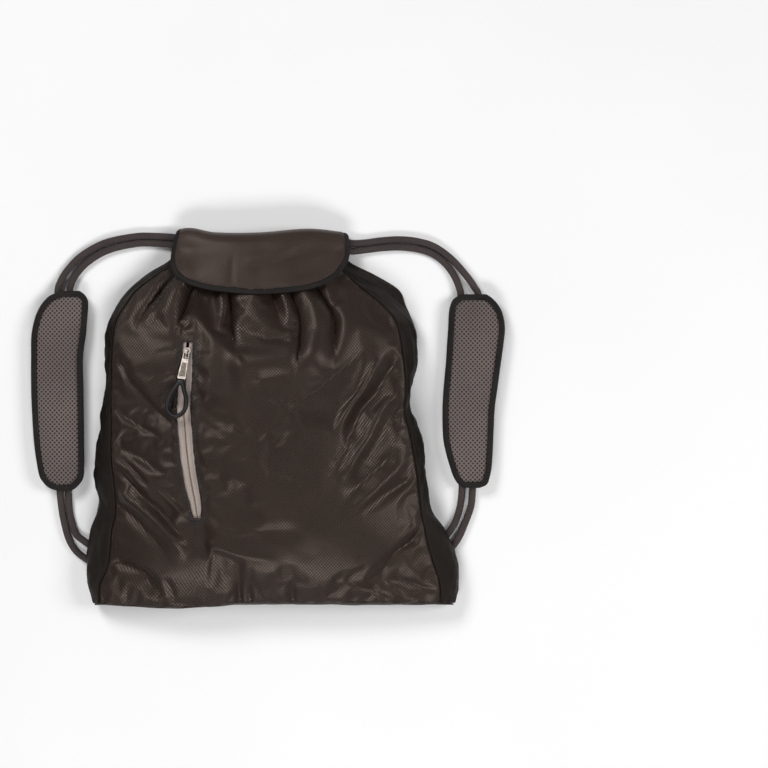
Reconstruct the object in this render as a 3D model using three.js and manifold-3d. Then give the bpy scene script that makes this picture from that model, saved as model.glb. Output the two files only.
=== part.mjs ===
// Packable drawcord backpack, lying on its back.
// Millimetres. X runs across the bag, Y from its base to its mouth, Z up from the floor.
// The front of the bag faces up. The group is centred on X and Y at the end.
import * as THREE from 'three';
import { mergeVertices } from 'three/addons/utils/BufferGeometryUtils.js';
import Module from 'manifold-3d';

// Main sizes of the bag.
const BAG_LENGTH = 370;
const BAG_WIDTH = 360;
const BAG_DEPTH = 64;
const WALL = 1.8;
const GAP = 0.3;
const CROWN_POWER = 2.6;
const MOUTH_AT = 0.9457;
const BACK_TOP_AT = 0.984;

// Hem at the mouth, where the drawcords come out.
const CASING_HALF_WIDTH = 5.6;
const CASING_HALF_HEIGHT = 4;
const CASING_RUFFLES = 9;
const CASING_RUFFLE_DEPTH = 0.14;
const CASING_SINK = 4.6;
const CASING_END_HEIGHT = 9.4;
const CASING_PAST_LEFT = 5;
const CASING_PAST_RIGHT = 7;

// Flap and its binding. FLAP_REACH is the cloth's way from its sewn edge to its free edge, and
// FLAP_MIDDLE is how far its middle lies from the bag's centre line.
const FLAP_WIDTH = 177.5;
const FLAP_REACH = 93.2;
const FLAP_MIDDLE = -8.75;
const FLAP_WALL = 1.8;
const FLAP_REST = 6.6;
const FLAP_BOW = 0.9;
const BINDING_WIDTH = 6.6;
const BINDING_RISE = 0.5;

// Zip.
const TAPE_WALL = 0.9;
const TAPE_WIDTH = 10;
const TAPE_TOP = WALL + 0.7;
const ZIP_FROM = 0.233;
const ZIP_TO = 0.697;
const SLIDER_AT = 0.668;
const SLIDER_LENGTH = 11;
const SLIDER_WIDTH = 7.6;
const SLIDER_PLATE = 1.2;
const WEDGE_WIDTH = 2.6;
const WEDGE_LENGTH = 4.4;
const BRIDGE_WIDTH = 2;
const BRIDGE_LENGTH = 7.4;
const BRIDGE_WALL = 1.1;

// Pull tab, hung on a bar under the slider's bridge, and its loop.
const BAR = 1.3;
const BAR_CLEAR = 0.35;
const TAB_LENGTH = 27;
const TAB_TOP_WIDTH = 6.2;
const TAB_END_WIDTH = 8.6;
const TAB_BEVEL = 0.3;
const EYE_LENGTH = 5.4;
const EYE_WIDTH = 4.1;
const PANEL_DEPTH = 0.3;
const PANEL_MARGIN = 1.5;
const TAB_SLANT = -0.11;
const TAB_LIFT = 0.085;
const COLLAR_LENGTH = 5.6;
const COLLAR_WIDTH = 9.4;
const COLLAR_THICK = 3.4;
const LOOP_LENGTH = 33;
const LOOP_WIDTH = 22;
const LOOP_CORD = 3.2;

// Straps: cords through padded sleeves.
const CORD = 7;
const PAD_SLEEVE = 1.2;
const PAD_LIFT = 9.4;
const PAD_THICK = 5;
const PAD_ROUND = 1;
const PAD_BINDING = 6;
const PAD_BINDING_RISE = 0.2;
const SLEEVE_INSET = 3.4;
const SLEEVE_CORNER = 2.6;
const SLEEVE_ENDS = 0.042;

// Rows of a table under its column names.
const table = (columns, rows) =>
  rows.map(row => Object.fromEntries(columns.map((name, k) => [name, row[k]])));

// Cross sections of the bag. 'at' is the share of BAG_LENGTH from the base, the sideways columns
// are shares of BAG_WIDTH and the two heights are shares of BAG_DEPTH.
const SECTIONS = table(
  ['at', 'backLeft', 'outLeft', 'seamLeft', 'seamRight', 'outRight', 'backRight', 'seam', 'crown'],
  [
    [0, -0.470, -0.484, -0.465, 0.473, 0.511, 0.497, 0.44, 0.62],
    [0.05, -0.483, -0.499, -0.462, 0.470, 0.521, 0.505, 0.52, 0.76],
    [0.10, -0.488, -0.504, -0.440, 0.455, 0.521, 0.505, 0.56, 0.87],
    [0.155, -0.482, -0.498, -0.432, 0.438, 0.504, 0.488, 0.59, 0.94],
    [0.20, -0.475, -0.490, -0.427, 0.428, 0.478, 0.463, 0.61, 0.97],
    [0.24, -0.462, -0.475, -0.418, 0.419, 0.448, 0.436, 0.62, 0.98],
    [0.28, -0.453, -0.466, -0.417, 0.414, 0.437, 0.425, 0.62, 0.99],
    [0.34, -0.467, -0.480, -0.424, 0.407, 0.428, 0.415, 0.62, 1],
    [0.40, -0.463, -0.476, -0.429, 0.398, 0.424, 0.411, 0.62, 1],
    [0.46, -0.452, -0.464, -0.429, 0.386, 0.412, 0.400, 0.62, 0.99],
    [0.517, -0.445, -0.457, -0.429, 0.371, 0.388, 0.377, 0.62, 0.98],
    [0.557, -0.440, -0.451, -0.429, 0.376, 0.385, 0.374, 0.62, 0.97],
    [0.60, -0.437, -0.448, -0.428, 0.375, 0.395, 0.383, 0.61, 0.95],
    [0.66, -0.437, -0.448, -0.427, 0.369, 0.407, 0.396, 0.60, 0.91],
    [0.718, -0.437, -0.448, -0.423, 0.359, 0.404, 0.396, 0.57, 0.84],
    [0.758, -0.430, -0.440, -0.414, 0.347, 0.389, 0.391, 0.53, 0.78],
    [0.798, -0.406, -0.415, -0.391, 0.311, 0.358, 0.374, 0.48, 0.71],
    [0.839, -0.377, -0.385, -0.359, 0.259, 0.326, 0.356, 0.43, 0.63],
    [0.879, -0.332, -0.338, -0.305, 0.212, 0.262, 0.290, 0.38, 0.56],
    [0.914, -0.276, -0.281, -0.247, 0.185, 0.208, 0.220, 0.35, 0.51],
    [0.95, -0.250, -0.247, -0.218, 0.168, 0.196, 0.208, 0.32, 0.47],
    [0.984, -0.247, -0.247, -0.218, 0.168, 0.196, 0.206, 0.32, 0.47],
  ],
);

// The zip's line: 'across' is the share of the front's width from its left seam, and 'half' half
// the width of the window as a share of TAPE_WIDTH.
const ZIP_LINE = table(['at', 'across', 'half'], [
  [0, 0.285, 0.34],
  [ZIP_FROM, 0.273, 0.36],
  [0.255, 0.269, 0.5],
  [0.307, 0.262, 0.63],
  [0.40, 0.256, 0.68],
  [0.49, 0.2525, 0.68],
  [0.56, 0.2535, 0.66],
  [0.63, 0.259, 0.6],
  [ZIP_TO, 0.2645, 0.46],
  [0.76, 0.267, 0.3],
  [MOUTH_AT, 0.27, 0.19],
]);

// Gathers that run down from the mouth. 'brow' is where each passes under the flap's free edge and
// 'foot' where it ends, both as shares of the front's width. 'end' is the foot's share of the
// length, 'width' a share of BAG_WIDTH and 'rise' of BAG_DEPTH. A negative rise is a valley.
const GATHER_FADE = 0.13;
const BROW_AT = 0.83;
const SQUEEZE_FROM = 0.78;
const SQUEEZE_TO = 0.9;
const MOUTH_CALM = 0.62;
const GATHERS = table(['name', 'brow', 'foot', 'end', 'width', 'rise'], [
  ['left crescent', 0.112, 0.070, 0.70, 0.0167, -0.086],
  ['left puff', 0.175, 0.150, 0.69, 0.0333, 0.050],
  ['deep tuck', 0.238, 0.224, 0.68, 0.0125, -0.086],
  ['pocket', 0.315, 0.330, 0.715, 0.0389, -0.069],
  ['thin ridge', 0.385, 0.374, 0.71, 0.0089, 0.053],
  ['main tuck', 0.419, 0.432, 0.64, 0.0139, -0.086],
  ['middle puff', 0.505, 0.510, 0.65, 0.0361, 0.047],
  ['wedge', 0.595, 0.577, 0.72, 0.0167, -0.081],
  ['second ridge', 0.637, 0.600, 0.71, 0.0094, 0.047],
  ['long tuck', 0.664, 0.626, 0.58, 0.0128, -0.066],
  ['right puff', 0.735, 0.690, 0.62, 0.0333, 0.041],
  ['right tuck', 0.800, 0.745, 0.61, 0.0153, -0.069],
  ['shoulder puff', 0.925, 0.930, 0.79, 0.025, 0.047],
]);

// Creases that cross the front. Both ends as shares of the front's width and of the length, with
// widths and rises as above. CREASE_FADE is the share of the length over which their ends fade.
const CREASE_FADE = 0.05;
const CREASES = table(['name', 'across', 'at', 'toAcross', 'toAt', 'width', 'rise'], [
  ['right one', 0.985, 0.685, 0.815, 0.56, 0.0167, -0.041],
  ['right two', 0.99, 0.628, 0.815, 0.485, 0.0167, -0.037],
  ['right three', 0.99, 0.555, 0.87, 0.45, 0.0167, -0.041],
  ['right four', 0.98, 0.48, 0.79, 0.345, 0.0194, -0.034],
  ['left one', 0.01, 0.307, 0.255, 0.145, 0.0194, 0.044],
  ['left two', 0.108, 0.323, 0.265, 0.222, 0.0153, 0.034],
  ['left three', 0.01, 0.43, 0.16, 0.355, 0.0167, -0.031],
  ['under the gathers', 0.49, 0.597, 0.61, 0.618, 0.0278, -0.031],
  ['base', 0.364, 0.198, 0.60, 0.198, 0.0222, -0.023],
  ['base corner', 0.87, 0.064, 0.98, 0.036, 0.0139, -0.031],
]);

// How far the front's base edge hangs below the base line, as a share of BAG_LENGTH.
const BASE_EDGE = table(['at', 'drop'], [
  [0, 0],
  [0.08, 0.0054],
  [0.2, 0.0108],
  [0.33, 0.0054],
  [0.4, -0.0038],
  [0.7, -0.0043],
  [1, 0],
]);

// Section of the flap. 'at' is the way over the cloth from the sewn edge and 'past' how far the
// cloth lies beyond the back panel's top edge, both as shares of FLAP_REACH. 'lift' is the share
// of the height that the flap rests at.
const FLAP_SECTION = table(['at', 'past', 'lift'], [
  [0, 0.003, 0.07],
  [0.086, 0.036, 0.24],
  [0.193, 0.053, 0.5],
  [0.322, 0.027, 0.8],
  [0.386, -0.018, 0.9],
  [0.451, -0.076, 0.96],
  [0.579, -0.210, 1],
  [1.009, -0.640, 1],
]);

// Plan of the flap: its edges at each way down the cloth, as shares of FLAP_WIDTH from its middle.
const FLAP_PLAN = table(['at', 'left', 'right'], [
  [0.043, -0.452, 0.472],
  [0.193, -0.461, 0.483],
  [0.322, -0.472, 0.494],
  [0.386, -0.480, 0.498],
  [0.451, -0.489, 0.5],
  [0.579, -0.5, 0.5],
  [0.665, -0.497, 0.486],
  [0.751, -0.483, 0.457],
  [0.815, -0.458, 0.428],
  [0.869, -0.421, 0.387],
  [0.912, -0.365, 0.337],
  [0.955, -0.276, 0.258],
  [0.987, -0.137, 0.139],
]);

// How the flap's fold line waves: 'at' as the plan's edges, 'out' a share of FLAP_REACH.
const FLAP_WAVE = table(['at', 'out'], [
  [-0.497, 0.005],
  [-0.390, 0.021],
  [-0.261, -0.026],
  [-0.007, -0.030],
  [0.275, 0.011],
  [0.489, -0.027],
]);

// Outlines of the pads. 'at' is the share of BAG_LENGTH, 'left' and 'right' shares of BAG_WIDTH.
const PAD_LEFT = [
  { at: 0.299, left: -0.587, right: -0.548 },
  { at: 0.307, left: -0.609, right: -0.535 },
  { at: 0.318, left: -0.622, right: -0.524 },
  { at: 0.334, left: -0.634, right: -0.514 },
  { at: 0.36, left: -0.641, right: -0.512 },
  { at: 0.42, left: -0.650, right: -0.512 },
  { at: 0.50, left: -0.656, right: -0.513 },
  { at: 0.58, left: -0.659, right: -0.514 },
  { at: 0.66, left: -0.659, right: -0.515 },
  { at: 0.72, left: -0.658, right: -0.507 },
  { at: 0.765, left: -0.648, right: -0.503 },
  { at: 0.794, left: -0.635, right: -0.501 },
  { at: 0.812, left: -0.621, right: -0.502 },
  { at: 0.826, left: -0.604, right: -0.510 },
  { at: 0.837, left: -0.573, right: -0.524 },
];
const PAD_RIGHT = [
  { at: 0.307, left: 0.541, right: 0.582 },
  { at: 0.315, left: 0.524, right: 0.600 },
  { at: 0.336, left: 0.509, right: 0.609 },
  { at: 0.36, left: 0.500, right: 0.614 },
  { at: 0.40, left: 0.488, right: 0.617 },
  { at: 0.44, left: 0.480, right: 0.619 },
  { at: 0.52, left: 0.478, right: 0.623 },
  { at: 0.585, left: 0.482, right: 0.632 },
  { at: 0.65, left: 0.488, right: 0.641 },
  { at: 0.70, left: 0.491, right: 0.648 },
  { at: 0.742, left: 0.494, right: 0.651 },
  { at: 0.78, left: 0.496, right: 0.643 },
  { at: 0.804, left: 0.502, right: 0.629 },
  { at: 0.818, left: 0.512, right: 0.615 },
  { at: 0.828, left: 0.532, right: 0.600 },
];

// Routes of the cords' centre lines: shares of BAG_WIDTH and BAG_LENGTH, and mm off the floor.
// Each leaves the mouth casing, runs through its pad and ends in the side seam near the base.
const CORD_LEFT_OUTER = [
  { across: -0.243, at: 0.977, z: 8.6 },
  { across: -0.270, at: 0.982, z: 6.4 },
  { across: -0.318, at: 0.985, z: 3.8 },
  { across: -0.374, at: 0.984, z: 3.8 },
  { across: -0.457, at: 0.967, z: 3.8 },
  { across: -0.521, at: 0.933, z: 3.8 },
  { across: -0.558, at: 0.897, z: 3.8 },
  { across: -0.580, at: 0.862, z: 4.9 },
  { across: -0.588, at: 0.825, z: 5.1 },
  { across: -0.586, at: 0.70, z: 5.1 },
  { across: -0.584, at: 0.54, z: 5.1 },
  { across: -0.581, at: 0.355, z: 5.1 },
  { across: -0.581, at: 0.298, z: 5.1 },
  { across: -0.577, at: 0.25, z: 3.9 },
  { across: -0.569, at: 0.209, z: 3.8 },
  { across: -0.557, at: 0.168, z: 3.8 },
  { across: -0.537, at: 0.136, z: 3.8 },
  { across: -0.508, at: 0.114, z: 3.9 },
];
const CORD_LEFT_INNER = [
  { across: -0.243, at: 0.957, z: 8.6 },
  { across: -0.270, at: 0.962, z: 6.4 },
  { across: -0.318, at: 0.966, z: 3.8 },
  { across: -0.374, at: 0.965, z: 3.8 },
  { across: -0.450, at: 0.947, z: 3.8 },
  { across: -0.503, at: 0.917, z: 3.8 },
  { across: -0.535, at: 0.885, z: 3.8 },
  { across: -0.551, at: 0.855, z: 4.9 },
  { across: -0.555, at: 0.825, z: 5.1 },
  { across: -0.556, at: 0.70, z: 5.1 },
  { across: -0.557, at: 0.54, z: 5.1 },
  { across: -0.558, at: 0.355, z: 5.1 },
  { across: -0.558, at: 0.298, z: 5.1 },
  { across: -0.556, at: 0.25, z: 3.9 },
  { across: -0.549, at: 0.212, z: 3.8 },
  { across: -0.536, at: 0.180, z: 3.8 },
  { across: -0.504, at: 0.156, z: 3.9 },
];
const CORD_RIGHT_INNER = [
  { across: 0.201, at: 0.956, z: 8.4 },
  { across: 0.225, at: 0.945, z: 6.2 },
  { across: 0.262, at: 0.948, z: 3.8 },
  { across: 0.310, at: 0.954, z: 3.8 },
  { across: 0.360, at: 0.956, z: 3.8 },
  { across: 0.410, at: 0.951, z: 3.8 },
  { across: 0.450, at: 0.938, z: 3.8 },
  { across: 0.484, at: 0.914, z: 3.8 },
  { across: 0.509, at: 0.882, z: 3.8 },
  { across: 0.525, at: 0.847, z: 4.9 },
  { across: 0.530, at: 0.815, z: 5.1 },
  { across: 0.531, at: 0.70, z: 5.1 },
  { across: 0.530, at: 0.54, z: 5.1 },
  { across: 0.531, at: 0.38, z: 5.1 },
  { across: 0.533, at: 0.306, z: 5.1 },
  { across: 0.528, at: 0.258, z: 3.9 },
  { across: 0.516, at: 0.218, z: 3.8 },
  { across: 0.498, at: 0.188, z: 3.9 },
];
const CORD_RIGHT_OUTER = [
  { across: 0.201, at: 0.976, z: 8.4 },
  { across: 0.225, at: 0.966, z: 6.2 },
  { across: 0.262, at: 0.967, z: 3.8 },
  { across: 0.310, at: 0.973, z: 3.8 },
  { across: 0.360, at: 0.976, z: 3.8 },
  { across: 0.410, at: 0.971, z: 3.8 },
  { across: 0.456, at: 0.957, z: 3.8 },
  { across: 0.501, at: 0.926, z: 3.8 },
  { across: 0.537, at: 0.888, z: 3.8 },
  { across: 0.565, at: 0.851, z: 4.9 },
  { across: 0.580, at: 0.815, z: 5.1 },
  { across: 0.579, at: 0.70, z: 5.1 },
  { across: 0.572, at: 0.54, z: 5.1 },
  { across: 0.565, at: 0.38, z: 5.1 },
  { across: 0.562, at: 0.306, z: 5.1 },
  { across: 0.558, at: 0.258, z: 3.9 },
  { across: 0.544, at: 0.218, z: 3.8 },
  { across: 0.527, at: 0.178, z: 3.8 },
  { across: 0.514, at: 0.158, z: 3.8 },
];

// Cloth and metal colours.
const material = (name, color, roughness, metalness = 0) =>
  new THREE.MeshStandardMaterial({ name, color, roughness, metalness, side: THREE.DoubleSide });
const NYLON = material('brown_nylon', 0x3a322e, 0.55);
const FLAP_NYLON = material('flap_nylon', 0x352c29, 0.6);
const BLACK_CLOTH = material('black_cloth', 0x26211f, 0.8);
const BINDING_CLOTH = material('binding_cloth', 0x2c2725, 0.8);
const TAPE = material('zip_tape', 0xa39992, 0.75);
const METAL = material('zip_metal', 0xb9b3ac, 0.3, 1);
const LOOP_PLASTIC = material('black_pull_cord', 0x151313, 0.6);
const MESH_CLOTH = material('air_mesh', 0x5a5150, 0.9);
const CORD_CLOTH = material('cord', 0x4a4140, 0.85);

// Smooth reading of a column between a table's rows.
function read(rows, key, at) {
  const last = rows.length - 1;
  if (at <= rows[0].at) return rows[0][key];
  if (at >= rows[last].at) return rows[last][key];
  let i = 0;
  while (rows[i + 1].at < at) i += 1;
  const slope = k => {
    const a = rows[Math.max(k - 1, 0)];
    const b = rows[Math.min(k + 1, last)];
    return (b[key] - a[key]) / (b.at - a.at);
  };
  const h = rows[i + 1].at - rows[i].at;
  const t = (at - rows[i].at) / h;
  const s = t * t * (3 - 2 * t);
  const ease = h * (t * (1 - t) * (1 - t) * slope(i) - t * t * (1 - t) * slope(i + 1));
  return rows[i][key] * (1 - s) + rows[i + 1][key] * s + ease;
}
const lerp = (a, b, t) => a + (b - a) * t;
const smooth = (a, b, x) => {
  const t = Math.min(Math.max((x - a) / (b - a), 0), 1);
  return t * t * (3 - 2 * t);
};

// Front of the bag without and with its folds.
const seamX = (side, at) => BAG_WIDTH * read(SECTIONS, side < 0 ? 'seamLeft' : 'seamRight', at);
const outX = (side, at) => BAG_WIDTH * read(SECTIONS, side < 0 ? 'outLeft' : 'outRight', at);
const backX = (side, at) => BAG_WIDTH * read(SECTIONS, side < 0 ? 'backLeft' : 'backRight', at);
const seamZ = at => BAG_DEPTH * read(SECTIONS, 'seam', at);
const crownZ = at => BAG_DEPTH * read(SECTIONS, 'crown', at);
const frontSpan = at => seamX(1, at) - seamX(-1, at);
const zipX = at => seamX(-1, at) + frontSpan(at) * read(ZIP_LINE, 'across', at);
const slotHalf = at => TAPE_WIDTH * read(ZIP_LINE, 'half', at);

function envelope(x, at) {
  const u = (x - seamX(-1, at)) / frontSpan(at);
  return crownZ(at) - (crownZ(at) - seamZ(at)) * Math.abs(2 * u - 1) ** CROWN_POWER;
}

function gatherHeight(x, at) {
  const u = (x - seamX(-1, at)) / frontSpan(at);
  let sum = 0;
  for (const g of GATHERS) {
    const t = smooth(g.end, g.end + GATHER_FADE, at);
    const centre = lerp(g.foot, g.brow, Math.min((at - g.end) / (BROW_AT - g.end), 1));
    const narrow = frontSpan(at) / frontSpan(SQUEEZE_FROM);
    const squeeze = lerp(1, narrow, smooth(SQUEEZE_FROM, SQUEEZE_TO, at));
    const d = (u - centre) * frontSpan(at) / (g.width * BAG_WIDTH * squeeze);
    sum += t * g.rise * BAG_DEPTH * Math.exp(-d * d);
  }
  return sum * lerp(1, MOUTH_CALM, smooth(BROW_AT, SQUEEZE_TO, at));
}

function creaseHeight(x, at) {
  const span = frontSpan(at);
  const px = (x - seamX(-1, at));
  const py = at * BAG_LENGTH;
  const fade = CREASE_FADE * BAG_LENGTH;
  let sum = 0;
  for (const c of CREASES) {
    const ax = c.across * span;
    const ay = c.at * BAG_LENGTH;
    const bx = c.toAcross * span;
    const by = c.toAt * BAG_LENGTH;
    const length = Math.hypot(bx - ax, by - ay);
    const along = ((px - ax) * (bx - ax) + (py - ay) * (by - ay)) / length;
    const off = ((px - ax) * (by - ay) - (py - ay) * (bx - ax)) / length / (c.width * BAG_WIDTH);
    const ends = smooth(-fade / 2, fade / 2, along) * (1 - smooth(length - fade, length + fade / 2, along));
    sum += c.rise * BAG_DEPTH * ends * Math.exp(-off * off);
  }
  return sum;
}

// The folds fade out over the SEAM_CALM share of the width beside each seam, over the BASE_CALM
// share of the length at the base, and within ZIP_CALM mm of the zip's window.
const SEAM_CALM = 0.05;
const BASE_CALM = 0.03;
const ZIP_CALM = 9;
const ZIP_STIFFNESS = 0.96;
function frontZ(x, at) {
  const u = (x - seamX(-1, at)) / frontSpan(at);
  const calm = smooth(0, SEAM_CALM, u) * smooth(0, SEAM_CALM, 1 - u) * smooth(0, BASE_CALM, at);
  const near = (x - zipX(at)) / (slotHalf(at) + ZIP_CALM);
  const zip = 1 - ZIP_STIFFNESS * Math.exp(-(near ** 4)) * (1 - smooth(ZIP_TO, ZIP_TO + 0.05, at));
  return envelope(x, at) + calm * zip * (gatherHeight(x, at) + creaseHeight(x, at));
}

// A closed sheet from two grids of points. skip(i, j) leaves a cell out.
function sheet(columns, rows, outer, inner, skip = () => false) {
  const points = [];
  const index = (i, j, layer) => (layer * (rows + 1) + j) * (columns + 1) + i;
  for (const layer of [outer, inner]) {
    for (let j = 0; j <= rows; j += 1) {
      for (let i = 0; i <= columns; i += 1) points.push(...layer(i, j).toArray());
    }
  }
  const there = (i, j) => i >= 0 && j >= 0 && i < columns && j < rows && !skip(i, j);
  const faces = [];
  const quad = (a, b, c, d) => faces.push(a, b, c, a, c, d);
  for (let j = 0; j < rows; j += 1) {
    for (let i = 0; i < columns; i += 1) {
      if (!there(i, j)) continue;
      const corners = layer => [[0, 0], [1, 0], [1, 1], [0, 1]].map(([a, b]) => index(i + a, j + b, layer));
      const [a, b, c, d] = corners(0);
      const [e, f, g, h] = corners(1);
      quad(a, b, c, d);
      quad(e, h, g, f);
      if (!there(i, j - 1)) quad(e, f, b, a);
      if (!there(i, j + 1)) quad(d, c, g, h);
      if (!there(i - 1, j)) quad(h, e, a, d);
      if (!there(i + 1, j)) quad(f, g, c, b);
    }
  }
  return closed(points, faces);
}

// Turns the faces outward and drops points that no face uses.
function closed(points, faces) {
  let volume = 0;
  const p = k => new THREE.Vector3().fromArray(points, 3 * k);
  for (let k = 0; k < faces.length; k += 3) {
    volume += p(faces[k]).dot(p(faces[k + 1]).cross(p(faces[k + 2])));
  }
  const used = [...new Set(faces)];
  const place = new Map(used.map((old, k) => [old, k]));
  const order = volume < 0 ? faces.map((f, k) => faces[k - (k % 3) + (3 - (k % 3)) % 3]) : faces;
  const geometry = new THREE.BufferGeometry();
  const packed = used.flatMap(k => points.slice(3 * k, 3 * k + 3));
  geometry.setAttribute('position', new THREE.Float32BufferAttribute(packed, 3));
  geometry.setIndex(order.map(k => place.get(k)));
  geometry.computeVertexNormals();
  return geometry;
}

// A closed tube from rings of points. loop joins the last ring to the first.
function rings(list, loop = false) {
  const n = list[0].length;
  const points = list.flat().flatMap(v => v.toArray());
  const faces = [];
  const last = loop ? list.length : list.length - 1;
  for (let k = 0; k < last; k += 1) {
    const a = k * n;
    const b = ((k + 1) % list.length) * n;
    for (let i = 0; i < n; i += 1) {
      const j = (i + 1) % n;
      faces.push(a + i, a + j, b + j, a + i, b + j, b + i);
    }
  }
  if (!loop) {
    const b = (list.length - 1) * n;
    for (let i = 1; i < n - 1; i += 1) faces.push(0, i + 1, i, b, b + i, b + i + 1);
  }
  return closed(points, faces);
}

const group = new THREE.Group();
function add(name, geometry, cloth, parent = group) {
  const mesh = new THREE.Mesh(geometry, cloth);
  mesh.name = name;
  parent.add(mesh);
  return mesh;
}

// Front panel, with the zip's slot left open.
const LEFT_CELLS = 9;
const RIGHT_CELLS = 22;
const FRONT_ROWS = [
  0, 0.02, 0.05, 0.09, 0.14, 0.19, ZIP_FROM, 0.275, 0.32, 0.365, 0.41, 0.45, 0.49, 0.53, 0.565,
  0.6, 0.635, 0.668, ZIP_TO, 0.72, 0.745, 0.77, 0.795, 0.82, 0.845, 0.87, 0.895, 0.92, MOUTH_AT,
];
function frontPoint(i, at, depth) {
  const x = i <= LEFT_CELLS
    ? lerp(seamX(-1, at), zipX(at) - slotHalf(at), i / LEFT_CELLS)
    : lerp(zipX(at) + slotHalf(at), seamX(1, at), (i - LEFT_CELLS - 1) / RIGHT_CELLS);
  const u = (x - seamX(-1, at)) / frontSpan(at);
  const drop = BAG_LENGTH * read(BASE_EDGE, 'drop', u) * (1 - smooth(0, 0.08, at));
  return new THREE.Vector3(x, at * BAG_LENGTH - drop, frontZ(x, at) - depth);
}
const inSlot = (i, j) => i === LEFT_CELLS && FRONT_ROWS[j] >= ZIP_FROM && FRONT_ROWS[j] < ZIP_TO;
add('front_panel', sheet(
  LEFT_CELLS + 1 + RIGHT_CELLS, FRONT_ROWS.length - 1,
  (i, j) => frontPoint(i, FRONT_ROWS[j], 0),
  (i, j) => frontPoint(i, FRONT_ROWS[j], WALL),
  inSlot,
), NYLON);

// Back panel, flat on the floor.
const BACK_ROWS = 26;
const BACK_COLUMNS = 2;
function backPoint(i, j, z) {
  const at = BACK_TOP_AT * j / BACK_ROWS;
  return new THREE.Vector3(lerp(backX(-1, at), backX(1, at), i / BACK_COLUMNS), at * BAG_LENGTH, z);
}
add('back_panel', sheet(
  BACK_COLUMNS, BACK_ROWS, (i, j) => backPoint(i, j, WALL), (i, j) => backPoint(i, j, 0),
), BLACK_CLOTH);

// Side gussets, from the back panel's edge up to the front's seam.
const GUSSET_ROWS = 26;
const GUSSET_COLUMNS = 4;
const BULGE_AT = 0.32;
function gussetProfile(side, at, w) {
  const b = backX(side, at);
  const o = outX(side, at);
  const s = seamX(side, at);
  const m = BULGE_AT;
  const x = b * (w - m) * (w - 1) / m + o * w * (w - 1) / (m * (m - 1)) + s * w * (w - m) / (1 - m);
  const z = lerp(WALL + GAP, seamZ(at) - WALL - 1.2 * GAP, w);
  return new THREE.Vector2(x, z);
}
function gussetPoint(side, at, w, depth) {
  const p = gussetProfile(side, at, w);
  const a = gussetProfile(side, at, Math.max(w - 0.02, 0));
  const b = gussetProfile(side, at, Math.min(w + 0.02, 1));
  const t = b.sub(a).normalize();
  const x = p.x - side * t.y * depth;
  const z = p.y + side * t.x * depth;
  return new THREE.Vector3(x, at * BAG_LENGTH, Math.max(z, WALL + GAP));
}
for (const [name, side] of [['gusset_left', -1], ['gusset_right', 1]]) {
  const point = depth => (i, j) =>
    gussetPoint(side, MOUTH_AT * j / GUSSET_ROWS, i / GUSSET_COLUMNS, depth);
  add(name, sheet(GUSSET_COLUMNS, GUSSET_ROWS, point(0), point(WALL)), BLACK_CLOTH);
}

// Bottom panel, standing between the gussets.
const BASE_COLUMNS = 12;
const BASE_ROWS = GUSSET_COLUMNS;
const BASE_BULGE = 3;
const BASE_CLEAR = 2.7;
const BASE_AT = 0.4;
function basePoint(i, j, depth) {
  const w = j / BASE_ROWS;
  const left = gussetPoint(-1, 0, w, WALL).x + BASE_CLEAR;
  const right = gussetPoint(1, 0, w, WALL).x - BASE_CLEAR;
  const x = lerp(left, right, i / BASE_COLUMNS);
  const z = lerp(WALL + GAP, frontZ(x, 0) - WALL - 1.2 * GAP, w);
  const bulge = BASE_BULGE * Math.sin(Math.PI * w);
  return new THREE.Vector3(x, depth + BASE_AT - bulge, z);
}
add('bottom_panel', sheet(
  BASE_COLUMNS, BASE_ROWS, (i, j) => basePoint(i, j, 0), (i, j) => basePoint(i, j, WALL),
), BLACK_CLOTH);

// Mouth casing: a ruffled hem that arches over the mouth.
const CASING_RINGS = 27;
const CASING_SIDES = 8;
const CASING_ARCH_POWER = 2.2;
const casingY = MOUTH_AT * BAG_LENGTH + 2 * GAP + CASING_HALF_WIDTH;
const casingLeft = seamX(-1, MOUTH_AT) - CASING_PAST_LEFT;
const casingRight = seamX(1, MOUTH_AT) + CASING_PAST_RIGHT;
function casingCentre(c) {
  const top = crownZ(MOUTH_AT) - CASING_SINK;
  const arch = 1 - Math.abs(2 * c - 1) ** CASING_ARCH_POWER;
  return new THREE.Vector3(lerp(casingLeft, casingRight, c), casingY, lerp(CASING_END_HEIGHT, top, arch));
}
const casingRings = [];
for (let k = 0; k <= CASING_RINGS; k += 1) {
  const c = k / CASING_RINGS;
  const centre = casingCentre(c);
  const tangent = casingCentre(Math.min(c + 0.01, 1)).sub(casingCentre(Math.max(c - 0.01, 0)));
  tangent.normalize();
  const up = new THREE.Vector3(-tangent.z, 0, tangent.x);
  const ruffle = 1 - CASING_RUFFLE_DEPTH * (1 - Math.cos(2 * Math.PI * CASING_RUFFLES * c)) / 2;
  const ring = [];
  for (let i = 0; i < CASING_SIDES; i += 1) {
    const a = 2 * Math.PI * i / CASING_SIDES;
    ring.push(centre.clone()
      .addScaledVector(up, CASING_HALF_HEIGHT * ruffle * Math.sin(a))
      .add(new THREE.Vector3(0, CASING_HALF_WIDTH * ruffle * Math.cos(a), 0)));
  }
  casingRings.push(ring);
}
add('mouth_casing', rings(casingRings), BLACK_CLOTH);

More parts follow.
